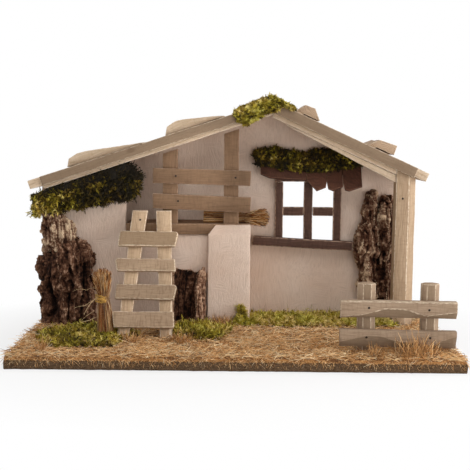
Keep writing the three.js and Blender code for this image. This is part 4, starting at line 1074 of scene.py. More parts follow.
@dataclass
class PlasteredBoard:
    """A wall board or block under a brushed coat of plaster."""

    node: str
    edge: float = 1.0 * MM
    cut: float = 9 * MM
    drift: float = 0.5 * MM
    number: int = 0
    slow_period: float = 28 * MM
    quick_period: float = 7 * MM
    quick_share: float = 0.4

    def build(self, material: bpy.types.Material) -> bpy.types.Object:
        """Rounds the solid's edges and lets its faces swell a little.

        Args:
            material: The plaster's material.

        Returns:
            The piece.
        """
        piece = copy_of(self.node, f"{self.node}_plaster")
        apply_modifier(
            piece, "BEVEL", width=self.edge, segments=3, limit_method="ANGLE",
            angle_limit=ARRIS, use_clamp_overlap=True,
        )
        for grain in (Grain.ACROSS, Grain.DEEP, Grain.UPRIGHT):
            slice_across(piece, grain.vector, self.cut)
        wobble(piece, self.drift, self.slow_period, self.number)
        wobble(piece, self.drift * self.quick_share, self.quick_period, self.number + 0.5)
        smooth(piece, 50)
        return dress(piece, material, "plaster", self.node)


@dataclass
class Ground:
    """The base board and the chopped straw glued over it."""

    straws: int = 13000
    stray_straws: int = 13000
    shortest: float = 6 * MM
    longest: float = 24 * MM
    width: float = 0.75 * MM
    edge_overhang: float = 3 * MM
    edge_straws: int = 1500
    edge_end_share: float = 0.25
    tuft_straws: int = 85
    tuft_width: float = 0.6 * MM
    # Where tufts of dry grass stand, in millimetres, with each one's radius: by the fence, at the
    # board's left corner, at the ladder's feet and at the block's foot.
    tufts: tuple[tuple[float, float, float], ...] = (
        (184, -110, 9), (198, -109, 10), (214, -104, 9), (152, -108, 6), (230, -84, 6),
        (-214, -98, 6), (196, -90, 8), (206, -111, 8), (-60, -60, 5), (-128, -50, 5),
        (-118, -56, 5), (-72, -52, 5), (-64, -58, 5), (-32, 41, 5), (-25, 40, 6),
        (-18, 39, 6), (-12, 40, 6),
    )

    def build(self, finishes: Finishes) -> None:
        """Builds the board, the straw's matted ground, painted dark as shadow between the straws, and its
        straws.

        Args:
            finishes: The stable's finishes.
        """
        self._board(finishes.fibre_board)
        self._straw(finishes.loose_straw)

    def _board(self, material: bpy.types.Material) -> None:
        """Tears the board's edges a little.

        Args:
            material: The board's material.
        """
        board = copy_of("base_board", "base_board_fibre")
        apply_modifier(board, "BEVEL", width=1.2 * MM, segments=2, limit_method="ANGLE")
        for grain in (Grain.ACROSS, Grain.DEEP, Grain.UPRIGHT):
            slice_across(board, grain.vector, (3 if grain is Grain.UPRIGHT else 5) * MM)
        points = points_of(board)
        low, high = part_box("base_board")
        standing = points[:, 2] < low.z + 0.3 * MM
        wobble(board, 0.9 * MM, 7 * MM, 3.0)
        moved = points_of(board)
        moved[standing, 2] = low.z
        moved[:, 2] = np.clip(moved[:, 2], low.z, high.z)
        place_points(board, moved)
        smooth(board, 60)
        dress(board, material, "fibre_board", "base_board")

    def _straw(self, material: bpy.types.Material) -> None:
        """Lays the matted ground, painted dark as shadow between the straws, and the straws on it, some of
        them over the board's edges.

        Args:
            material: The straw's material.
        """
        low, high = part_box("straw_ground_cover")
        shadow_mat = copy_of("straw_ground_cover", "straw_shadow_mat")
        for grain in (Grain.ACROSS, Grain.DEEP):
            slice_across(shadow_mat, grain.vector, 8 * MM)
        wobble(shadow_mat, 0.8 * MM, 9 * MM, 9.0)
        chance = np.random.default_rng(11)
        count = len(shadow_mat.data.vertices)
        # The sheet takes the darkest tones and the root's full darkening: painted shadow between the
        # straws.
        write_values(shadow_mat, "along", np.zeros(count))
        write_values(shadow_mat, "tone", chance.uniform(0.0, 0.3, count))
        lying = self._lying(low, high, 12, self.straws, "straws_lying", 3)
        dress(join([shadow_mat, lying], "straw_ground"), material, "loose_straw", "straw_ground_cover")
        stray = self._lying(low, high, 13, self.stray_straws, "straws_on_top", 3, lift=1.9 * MM, tilt=0.3)
        dress(stray, material, "loose_straw")
        dress(self._hanging(low, high), material, "loose_straw")
        dress(self._tufts(high.z), material, "loose_straw")

    def _hanging(self, low: Vector, high: Vector) -> bpy.types.Object:
        """Lets straws hang over the board's front edge and its right end.

        Args:
            low: The straw cover's lowest corner.
            high: Its highest corner.

        Returns:
            The hanging straws.
        """
        chance = np.random.default_rng(14)
        count = self.edge_straws
        at_end = chance.uniform(0, 1, count) < self.edge_end_share
        x = np.where(at_end, high.x - 1 * MM, chance.uniform(low.x, high.x, count))
        y = np.where(at_end, chance.uniform(low.y, high.y, count), low.y + 1 * MM)
        root = np.stack([x, y, np.full(count, high.z) + chance.uniform(-1.5, 0.6, count) * MM], axis=1)
        out = np.stack([at_end * 1.0, at_end - 1.0, np.zeros(count)], axis=1)
        beside = np.stack([(1 - at_end) * 1.0, at_end * 1.0, np.zeros(count)], axis=1)
        sway = beside * chance.normal(0, 7 * MM, (count, 1))
        reach = out * chance.uniform(1.5, 3.0, (count, 1)) * MM + sway
        bend = np.zeros((count, 3))
        bend[:, 2] = -chance.uniform(2, 10, count) * MM
        return straw_strand(3, 3).copies(
            "straws_over_the_edge", root, reach, bend, self.width * chance.uniform(0.5, 1.0, count),
            np.clip(chance.normal(0.42, 0.3, count), 0, 1), 14,
        )

    def _tufts(self, ground: float) -> bpy.types.Object:
        """Stands tufts of dry grass up at their places.

        Args:
            ground: The straw cover's top.

        Returns:
            The tufts in one piece.
        """
        chance = np.random.default_rng(15)
        places = np.repeat(np.array(self.tufts), self.tuft_straws, axis=0)
        count = len(places)
        flat = np.clip(chance.normal(0, 0.5, (count, 2)), -1.0, 1.0) * places[:, 2:]
        root = np.column_stack([places[:, :2] + flat, np.full(count, 0.5)]) * MM + np.array([0, 0, ground])
        tall = chance.uniform(0.6, 2.4, count) * places[:, 2]
        reach = np.column_stack([flat * 0.7 + chance.normal(0, 3, (count, 2)), tall]) * MM
        bend = chance.normal(0, 0.22, (count, 3)) * tall[:, None] * MM
        return straw_strand(3, 4).copies(
            "dry_grass_tufts", root, reach, bend, np.full(count, self.tuft_width),
            np.clip(chance.normal(0.3, 0.28, count), 0, 1), 15,
        )

    def _lying(
        self, low: Vector, high: Vector, seed: int, count: int, name: str, sides: int,
        lift: float = 0.2 * MM, tilt: float = 0.12,
    ) -> bpy.types.Object:
        """Scatters straws over the board, clear of the walls.

        Args:
            low: The straw cover's lowest corner.
            high: Its highest corner.
            seed: Sets this layer's places.
            count: How many straws lie in it.
            name: The piece's name.
            sides: The faces round a straw.
            lift: How far above the cover they lie.
            tilt: The greatest slope of a straw.

        Returns:
            The layer of straws.
        """
        chance = np.random.default_rng(seed)
        centre = np.stack([
            chance.uniform(low.x - 1 * MM, high.x + 1 * MM, count),
            chance.uniform(low.y + 1 * MM, high.y - 2 * MM, count),
            np.full(count, high.z + lift) + chance.uniform(-0.8, 1.6, count) * MM,
        ], axis=1)
        turn = chance.uniform(0, 2 * math.pi, count)
        length = self.shortest + (self.longest - self.shortest) * chance.beta(1.5, 2.6, count)
        slope = chance.uniform(-tilt, tilt, count)
        level = np.cos(slope)
        way = np.stack([np.cos(turn) * level, np.sin(turn) * level, np.sin(slope)], axis=1)
        reach = way * length[:, None]
        root = centre - reach / 2
        hidden = self._under_the_walls(root) | self._under_the_walls(root + reach)
        # What lies past the board's edges is drawn back, so that no straw flies off it.
        for axis, (near, far) in enumerate(((low.x, high.x), (low.y, high.y))):
            over = np.maximum(root[:, axis], (root + reach)[:, axis]) - (far + self.edge_overhang)
            root[:, axis] -= np.maximum(over, 0)
            under = (near - self.edge_overhang) - np.minimum(root[:, axis], (root + reach)[:, axis])
            root[:, axis] += np.maximum(under, 0)
        bend = np.clip(chance.normal(0, 0.3, (count, 3)), -0.45, 0.45) * length[:, None]
        bend[:, 2] = np.abs(bend[:, 2]) * 0.6
        # A tip that reaches over the board's edge droops.
        tip = root + reach
        past = np.maximum(low.y + 1 * MM - tip[:, 1], 0) + np.maximum(tip[:, 0] - high.x + 1 * MM, 0)
        bend[:, 2] -= past * 1.1
        keep = ~hidden
        widths = self.width * chance.uniform(0.6, 1.25, count)
        tones = np.clip(chance.normal(0.6, 0.37, count), 0, 1)
        return straw_strand(sides, 2).copies(
            name, root[keep], reach[keep], bend[keep], widths[keep], tones[keep], seed,
        )

    @staticmethod
    def _under_the_walls(points: np.ndarray) -> np.ndarray:
        """Says which points lie within the walls, the block or a post.

        Args:
            points: One row per point.

        Returns:
            A truth value for each point.
        """
        inside = np.zeros(len(points), bool)
        for node in (
            "plaster_block", "corner_post", "front_wall_left", "front_wall_under_loft", "left_side_wall",
        ):
            low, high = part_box(node)
            within = (points[:, 0] > low.x) & (points[:, 0] < high.x)
            inside |= within & (points[:, 1] > low.y) & (points[:, 1] < high.y)
        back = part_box("back_wall")[0].y
        left_of_block = points[:, 0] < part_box("plaster_block")[1].x
        behind = left_of_block & (points[:, 1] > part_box("front_wall_left")[0].y)
        return inside | behind | (points[:, 1] > back)


@dataclass
class Walls:
    """The plastered walls, the block under the loft and the corner post."""

    boards: tuple[str, ...] = (
        "back_wall", "left_side_wall", "front_wall_left", "front_wall_under_loft", "plaster_block",
    )
    board_edge: float = 1.0 * MM
    block_edge: float = 2.2 * MM

    def build(self, finishes: Finishes) -> None:
        """Builds the walls and the post.

        Args:
            finishes: The stable's finishes.
        """
        for number, node in enumerate(self.boards):
            edge = self.block_edge if node == "plaster_block" else self.board_edge
            PlasteredBoard(node, edge=edge, number=number + 1).build(finishes.plaster)
        Timber("corner_post", Grain.UPRIGHT, number=60).build(finishes.raw_pine, "pale_pine")


@dataclass
class Roof:
    """Decks, bargeboards, rafters and the split slabs that lie on the roof."""

    slab_drift: float = 0.9 * MM
    # The bargeboards' front faces take the aged colour, partly weathering and partly painted shade.
    weathered_and_shaded_face: Vector = field(default_factory=lambda: Vector((0, -1, 0)))

    def build(self, finishes: Finishes) -> None:
        """Builds the roof's timber.

        Args:
            finishes: The stable's finishes.
        """
        pale, grey = finishes.pale_pine, finishes.greyed_pine
        slopes = {"left": Grain.LEFT_SLOPE, "right": Grain.RIGHT_SLOPE}
        for number, (side, slope) in enumerate(slopes.items(), 1):
            Timber(f"roof_deck_{side}", slope, number=number).build(pale, "pale_pine")
        for number, (side, slope) in enumerate(slopes.items(), 3):
            bargeboard = Timber(f"bargeboard_{side}", slope, number=number, aged_and_shaded=self.weathered_and_shaded_face)
            bargeboard.build(grey, "greyed_pine")
        for number, (side, slope) in enumerate(slopes.items(), 5):
            Timber(f"rafter_{side}", slope, number=number).build(pale, "pale_pine")
        Timber("rafter_batten_right", Grain.RIGHT_SLOPE, number=7).build(pale, "pale_pine")
        for number, end in enumerate(("lower", "upper")):
            Timber(
                f"roof_slab_left_{end}", Grain.LEFT_SLOPE, number=8 + number, drift=self.slab_drift,
            ).build(pale, "pale_pine")
            Timber(
                f"roof_slab_right_{end}", Grain.DEEP, number=10 + number, drift=self.slab_drift,
            ).build(grey, "greyed_pine")


@dataclass
class HayLoft:
    """The loft's floor and its railing."""

    def build(self, finishes: Finishes) -> None:
        """Builds the loft's timber.

        Args:
            finishes: The stable's finishes.
        """
        # The loft's timber takes the pine that is painted darker as shade under the roof.
        wood = finishes.brown_pine
        Timber("loft_floor", Grain.ACROSS, number=20).build(wood, "brown_pine")
        for number, side in enumerate(("left", "right")):
            Timber(f"railing_post_{side}", Grain.UPRIGHT, number=21 + number).build(wood, "brown_pine")
        for number, place in enumerate(("upper", "lower")):
            Timber(f"railing_rail_{place}", Grain.ACROSS, number=24 + number).build(wood, "brown_pine")


@dataclass
class Ladder:
    """The ladder's two legs and four rungs."""

    rungs: int = 4
    weathered: Vector = field(default_factory=lambda: Vector((0, -0.85, 0.53)))

    def build(self, finishes: Finishes) -> None:
        """Builds the ladder.

        Args:
            finishes: The stable's finishes.
        """
        for number, (side, outwards) in enumerate((("left", -0.8), ("right", 0.8))):
            Timber(
                f"ladder_leg_{side}", Grain.LADDER, number=30 + number,
                wane=Vector((outwards, -0.51, 0.32)),
            ).build(finishes.raw_pine, "raw_pine")
        for index in range(1, self.rungs + 1):
            Timber(
                f"ladder_rung_{index}", Grain.ACROSS, number=32 + index, edge=1.3 * MM,
                drift=0.7 * MM, cut=4 * MM, aged_and_shaded=self.weathered if index == self.rungs else None,
            ).build(finishes.rough_pine, "raw_pine")


@dataclass
class WindowUnit:
    """The window's frame and the shingle canopy over it."""

    shingles: int = 4
    bar_edge: float = 1.0 * MM
    shingle_edge: float = 0.4 * MM

    def build(self, finishes: Finishes) -> None:
        """Builds the frame, the sill and the canopy.

        Args:
            finishes: The stable's finishes.
        """
        bars = {
            "window_stile_left": Grain.UPRIGHT, "window_stile_right": Grain.UPRIGHT,
            "window_mullion": Grain.UPRIGHT, "window_transom_left": Grain.ACROSS,
            "window_transom_right": Grain.ACROSS, "window_head": Grain.ACROSS,
            "window_sill": Grain.ACROSS, "canopy_batten": Grain.ACROSS,
        }
        for number, (node, grain) in enumerate(bars.items(), 40):
            bar = Timber(node, grain, edge=self.bar_edge, number=number)
            bar.build(finishes.stained_wood, "stained_wood")
        for index in range(1, self.shingles + 1):
            Timber(
                f"canopy_shingle_{index}", Grain.UPRIGHT, edge=self.shingle_edge, cut=4 * MM,
                number=50 + index,
            ).build(finishes.stained_shingle, "stained_shingle")


@dataclass
class Fence:
    """The fence's two posts and two split rails."""

    def build(self, finishes: Finishes) -> None:
        """Builds the fence.

        Args:
            finishes: The stable's finishes.
        """
        for number, side in enumerate(("left", "right")):
            Timber(
                f"fence_post_{side}", Grain.UPRIGHT, number=70 + number, aged_and_shaded=Vector((0, -1, 0)),
            ).build(finishes.greyed_pine, "greyed_pine")
        # The rails' lower facet, which faces down, takes the aged colour as painted shade; the posts' front
        # faces take it as weathering.
        for number, place in enumerate(("upper", "lower")):
            Timber(
                f"fence_rail_{place}", Grain.ACROSS, number=72 + number, drift=0.5 * MM, cut=5 * MM,
                aged_and_shaded=Vector((0, -0.8, -0.6)),
            ).build(finishes.greyed_pine, "greyed_pine")


@dataclass(frozen=True)
class BarkPattern:
    """How one piece of bark has split: its furrows' spacing and what its surface does between them.

    The crevices lie spacing apart and crevice deep, and wander by sway. Mass is the height of broad
    swellings and step that of a flake. Body makes the whole piece paler, and held is the share of
    the relief that the piece takes.
    """

    node: str
    spacing: float
    sway: float
    mass: float
    crevice: float
    step: float
    body: float
    seed: float
    voxel: float = 0.85 * MM
    held: float = 1.0


@dataclass
class Bark:
    """The pieces of cork oak bark, with deep upright crevices between flaking ridges."""

    layer_depth: float = 0.5 * MM
    grain_depth: float = 0.9 * MM
    crest_height: float = 1.4 * MM
    crest_width: float = 1.1 * MM
    foot_held: float = 3 * MM
    back_held: float = 2 * MM
    # How far the curl's inner face is painted darker, as painted shade in the hollow.
    inner_painted_shade: float = 0.36
    edge_pale: float = 0.9
    patterns: tuple[BarkPattern, ...] = (
        BarkPattern(
            "cork_bark_left", spacing=21 * MM, sway=8 * MM, mass=5.5 * MM, crevice=7.0 * MM,
            step=1.3 * MM, body=0.05, seed=1.0,
        ),
        BarkPattern(
            "cork_bark_left_upper", spacing=11 * MM, sway=4 * MM, mass=3.0 * MM, crevice=3.0 * MM,
            step=1.2 * MM, body=0.26, seed=2.0,
        ),
        BarkPattern(
            "cork_bark_right", spacing=12 * MM, sway=5 * MM, mass=4.0 * MM, crevice=4.5 * MM,
            step=1.2 * MM, body=0.1, seed=3.0,
        ),
        BarkPattern(
            "cork_bark_hollow", spacing=9 * MM, sway=4 * MM, mass=2.0 * MM, crevice=2.2 * MM,
            step=0.7 * MM, body=0.32, seed=4.0, voxel=0.75 * MM, held=0.5,
        ),
    )

    def build(self, finishes: Finishes) -> None:
        """Builds each piece of bark.

        Args:
            finishes: The stable's finishes.
        """
        for pattern in self.patterns:
            dark = pattern.node in ("cork_bark_left", "cork_bark_hollow")
            self._slab(pattern, finishes.dark_cork if dark else finishes.split_cork)

    def _slab(self, pattern: BarkPattern, material: bpy.types.Material) -> None:
        """Carves one piece's crevices, plates and crests, and keeps its foot and its back in place.

        Args:
            pattern: The piece's pattern.
            material: The bark's material.
        """
        piece = copy_of(pattern.node, f"{pattern.node}_cork")
        activate(piece)
        piece.data.remesh_voxel_size = pattern.voxel
        bpy.ops.object.voxel_remesh()
        points = points_of(piece)
        normals = np.array([vertex.normal for vertex in piece.data.vertices])
        low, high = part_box(pattern.node)
        push, relief, crest = np.array([self._at(Vector(row), pattern) for row in points]).T
        if pattern.node == "cork_bark_hollow":
            # The curl's inner face is painted darker, as painted shade in the hollow, and its broken edges
            # are pale.
            spoke = points[:, :2] - np.array((low + high) / 2)[:2]
            spoke /= np.linalg.norm(spoke, axis=1, keepdims=True)
            outward = (spoke * normals[:, :2]).sum(axis=1)
            relief -= self.inner_painted_shade * (outward < -0.15)
            crest = np.where(np.abs(outward) < 0.4, self.edge_pale, crest * (outward > 0))
        held = np.clip((points[:, 2] - low.z) / self.foot_held, 0, 1) * pattern.held
        held *= np.clip((high.y - points[:, 1]) / self.back_held, 0, 1)
        place_points(piece, points + normals * (push * held)[:, None])
        write_values(piece, "relief", np.clip(relief, 0, 1))
        write_values(piece, "crest", crest)
        smooth(piece, 60)
        dress(piece, material, "cork_bark", pattern.node)

    def _at(self, place: Vector, pattern: BarkPattern) -> tuple[float, float, float]:
        """Works out the bark's shape at one point.

        Args:
            place: The point on the CAD solid.
            pattern: The piece's pattern.

        Returns:
            How far the point moves out, its relief from dark to pale and its share of a pale crest.
        """
        start = Vector((0.31, 0.17, 0.23)) * pattern.seed
        point = place + start
        bent = point + noise.noise_vector(point / (22 * MM)) * 4 * MM
        # The crevices wander: slowly up the trunk, in places about 30 mm apart, and in small jogs.
        leaning = noise.noise(Vector((0, 0, point.z / (70 * MM)))) * pattern.sway * 1.5
        swaying = Vector((point.x / (30 * MM), point.y / (30 * MM), point.z / (34 * MM)))
        sway = noise.noise(swaying) * pattern.sway
        sway += noise.noise(Vector((0, 0, point.z / (9 * MM)))) * pattern.sway * 0.3
        across = place.x + 0.7 * place.y + sway + leaning
        turn = (across / pattern.spacing) % 1
        crest = max(0.0, 1 - abs(turn - 0.5) * pattern.spacing / self.crest_width)
        crevice = min(1.0, min(turn, 1 - turn) * 6.5)
        mass = noise.fractal(Vector((bent.x, bent.y, bent.z * 0.55)) / (16 * MM), 0.9, 2.0, 2)
        # Flakes lie in steps, each with a steep edge.
        flaking = Vector((bent.x, bent.y, bent.z * 0.5)) / (8 * MM) + start
        terrace = 3.0 * noise.fractal(flaking, 0.8, 2.0, 3)
        step = math.floor(terrace) + min(1.0, (terrace % 1) * 5.0)
        layer = noise.noise(Vector((point.x / (9 * MM), point.y / (9 * MM), point.z / (1.6 * MM))))
        grain = noise.fractal(Vector((point.x, point.y, point.z * 0.7)) / (2.8 * MM), 0.7, 2.1, 3)
        push = (
            pattern.mass * mass + self.crest_height * crest + pattern.step * step
            + self.layer_depth * layer + self.grain_depth * grain - pattern.crevice * (1 - crevice) ** 1.3
        )
        relief = 0.34 * crevice + 0.1 * step + 0.3 * grain + 0.1 * layer + 0.25 * mass + 0.12 + pattern.body
        return push, relief, crest


@dataclass
class StrawBundles:
    """The standing sheaf with its tie, and the bundle that lies on the loft."""

    stalks: int = 620
    stalk_width: float = 0.85 * MM
    # Each bundle's waist as a share of its length, and its foot's, waist's and head's radii in mm.
    sheaf_waist_at: float = 0.58
    sheaf_radii: tuple[float, float, float] = (10.5, 6.6, 11.0)
    loft_waist_at: float = 0.6
    loft_radii: tuple[float, float, float] = (8.0, 6.2, 11.5)
    loft_rise: float = 9.2 * MM
    bow: float = 1.7 * MM
    flare: float = 2.5
    stray_share: float = 0.25
    foot_lean: Vector = field(default_factory=lambda: Vector((5.0, 0, 0)) * MM)
    tie_turns: int = 9
    tie_width: float = 1.25 * MM
    loose_width: float = 0.6 * MM
    # How far a loose straw curls round by its tip, in radians.
    curl_turn: float = 9.0
    # Where each loose straw leaves the sheaf, how far it reaches and bends, and its curl's radius.
    loose: tuple[tuple[tuple[float, float, float], ...], ...] = (
        ((-6, -6, 12), (-12, -7, 6), (-9, 0, -9), (2.6, 1.1, 0)),
        ((-5, -6, 2), (-18, -8, -12), (4, 0, -7), (0, 0, 0)),
        ((-5, -6, 1), (-20, -6, -14), (-3, -2, 3), (1.2, 0.6, 0)),
        ((-7, -5, -14), (-20, -7, -8), (3, 0, -4), (0, 0, 0)),
        ((-6, -6, -22), (-10, -9, -2), (-5, 0, -3), (0.8, 0.5, 0)),
        ((5, -6, 3), (6, -6, -14), (4, 0, -6), (0, 0, 0)),
    )

    def build(self, finishes: Finishes) -> None:
        """Builds both bundles, the tie and the loose straws beside them.

        Args:
            finishes: The stable's finishes.
        """
        low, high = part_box("straw_sheaf")
        centre = (low + high) / 2
        foot = Vector((centre.x, centre.y, low.z)) + self.foot_lean
        reach = Vector((0, 0, high.z - low.z)) - self.foot_lean
        sheaf = self._bundle("sheaf", foot, reach, self.sheaf_waist_at, self.sheaf_radii, 21)
        dress(sheaf, finishes.sheaf_straw, "straw", "straw_sheaf")
        self._tie(finishes.tie_straw)
        self._loose_straws(finishes.sheaf_straw)
        low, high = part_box("straw_bundle_loft")
        start = Vector((low.x, (low.y + high.y) / 2, low.z + self.loft_rise))
        reach = Vector((high.x - low.x, 0, 0))
        bundle = self._bundle("loft_bundle", start, reach, self.loft_waist_at, self.loft_radii, 22)
        dress(bundle, finishes.sheaf_straw, "straw", "straw_bundle_loft")

    def _bundle(
        self, name: str, foot: Vector, reach: Vector, waist_at: float,
        radii: tuple[float, float, float], seed: int,
    ) -> bpy.types.Object:
        """Draws stalks through a tied waist, each on its own slanting line, opening like a fan.

        Args:
            name: The bundle's name.
            foot: The middle of its foot.
            reach: The vector from foot to head.
            waist_at: The waist's share of the length.
            radii: The foot's, waist's and head's radii in millimetres.
            seed: Sets the stalks' places.

        Returns:
            The bundle.
        """
        chance = np.random.default_rng(seed)
        axis = reach.normalized()
        side = axis.orthogonal().normalized()
        plane = np.array([side, axis.cross(side)])
        count = self.stalks
        angle = chance.uniform(0, 2 * math.pi, count)
        share = np.sqrt(chance.uniform(0, 1, count))
        # Each stalk slants by its own turn about the axis, so that the waist stays the narrowest.
        twist = chance.normal(0.0, 0.24, count)
        stray = chance.uniform(0, 1, count) < self.stray_share
        start, turned, ended = (
            np.stack([np.cos(angle + turn), np.sin(angle + turn)], axis=1) * share[:, None] @ plane * MM
            for turn in (0 * twist, -twist, twist)
        )
        waist = np.array(foot + reach * waist_at) + start * radii[1]
        low_end = np.array(foot) + turned * radii[0]
        # Outer stalks end a little lower, and some are broken off short.
        top_share = 1.0 - 0.06 * share ** 2 - chance.exponential(0.085, count)
        head = np.array(foot) + np.array(reach) * top_share[:, None] + ended * radii[2]
        bow = chance.normal(0, self.bow, (count, 3)) * np.where(stray, 2.4, 1.0)[:, None]
        # A stalk bows only square to the axis.
        bow -= (bow @ np.array(axis))[:, None] * np.array(axis)
        widths = self.stalk_width * chance.uniform(0.5, 1.2, count)
        # Stalks near the middle take lower tones than the outer ones: painted shade in the bundle's core.
        tones = np.clip(0.18 + 0.3 * share + chance.normal(0, 0.55, count), 0, 1)
        strand = straw_strand(5, 3)
        down = low_end - waist - bow
        lower = strand.copies(f"{name}_lower", waist, down, bow, widths, tones, seed)
        open_out = ended * self.flare + bow
        up = head - waist - open_out
        upper = strand.copies(f"{name}_upper", waist, up, open_out * 1.3, widths, tones, seed)
        return join([lower, upper], f"{name}_straw")

    def _tie(self, material: bpy.types.Material) -> None:
        """Winds the tie round the waist: one turn is modelled and its copies cross each other.

        Args:
            material: The tie's material.
        """
        low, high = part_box("straw_sheaf_tie")
        middle = (low + high) / 2
        radius = (high.x - low.x) / 2 - self.tie_width * 0.4
        bpy.ops.object.select_all(action="DESELECT")
        bpy.ops.mesh.primitive_torus_add(
            major_radius=radius, minor_radius=self.tie_width / 2, major_segments=44, minor_segments=8,
        )
        turn = bpy.context.object
        turns = [turn]
        for _ in range(1, self.tie_turns):
            copy = bpy.data.objects.new("turn", turn.data.copy())
            bpy.context.scene.collection.objects.link(copy)
            turns.append(copy)
        for index, turn in enumerate(turns):
            tilt = 0.24 * math.sin(index * 2.1)
            height = low.z + (high.z - low.z) * (index + 0.5) / self.tie_turns
            slant = Euler((tilt, -tilt * 0.7, index * 0.4)).to_matrix().to_4x4()
            turn.data.transform(Matrix.Translation((middle.x, middle.y, height)) @ slant)
        tie = join(turns, "sheaf_tie_straw")
        points = points_of(tie)
        around = np.arctan2(points[:, 1] - middle.y, points[:, 0] - middle.x)
        write_values(tie, "along", np.ones(len(points)))
        # The twist shows as slanting bands, fourteen round the waist.
        write_values(tie, "tone", 0.5 + 0.45 * np.sin(around * 14 + points[:, 2] / MM * 3))
        wobble(tie, 0.9 * MM, 4 * MM, 4.0)
        smooth(tie, 60)
        dress(tie, material, "straw_tie", "straw_sheaf_tie")

    def _loose_straws(self, material: bpy.types.Material) -> None:
        """Lets thin pale straws curl out of the sheaf beside its tie.

        Args:
            material: The straw's material.
        """
        low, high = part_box("straw_sheaf_tie")
        middle = np.array((low + high) / 2)
        roots, reaches, bends, curls = (np.array(part, float) * MM for part in zip(*self.loose))
        count = len(self.loose)
        straws = straw_strand(4, 14).copies(
            "loose_sheaf_straws", middle + roots, reaches, bends,
            np.full(count, self.loose_width), np.full(count, 1.0), 5,
        )
        points = points_of(straws)
        curl = np.repeat(curls, len(points) // count, axis=0)
        way = points_along(straws)
        turn = way * self.curl_turn
        points[:, 0] += curl[:, 0] * (np.cos(turn) - 1) * way
        points[:, 2] += curl[:, 0] * np.sin(turn) * way
        place_points(straws, points)
        dress(straws, material, "straw")


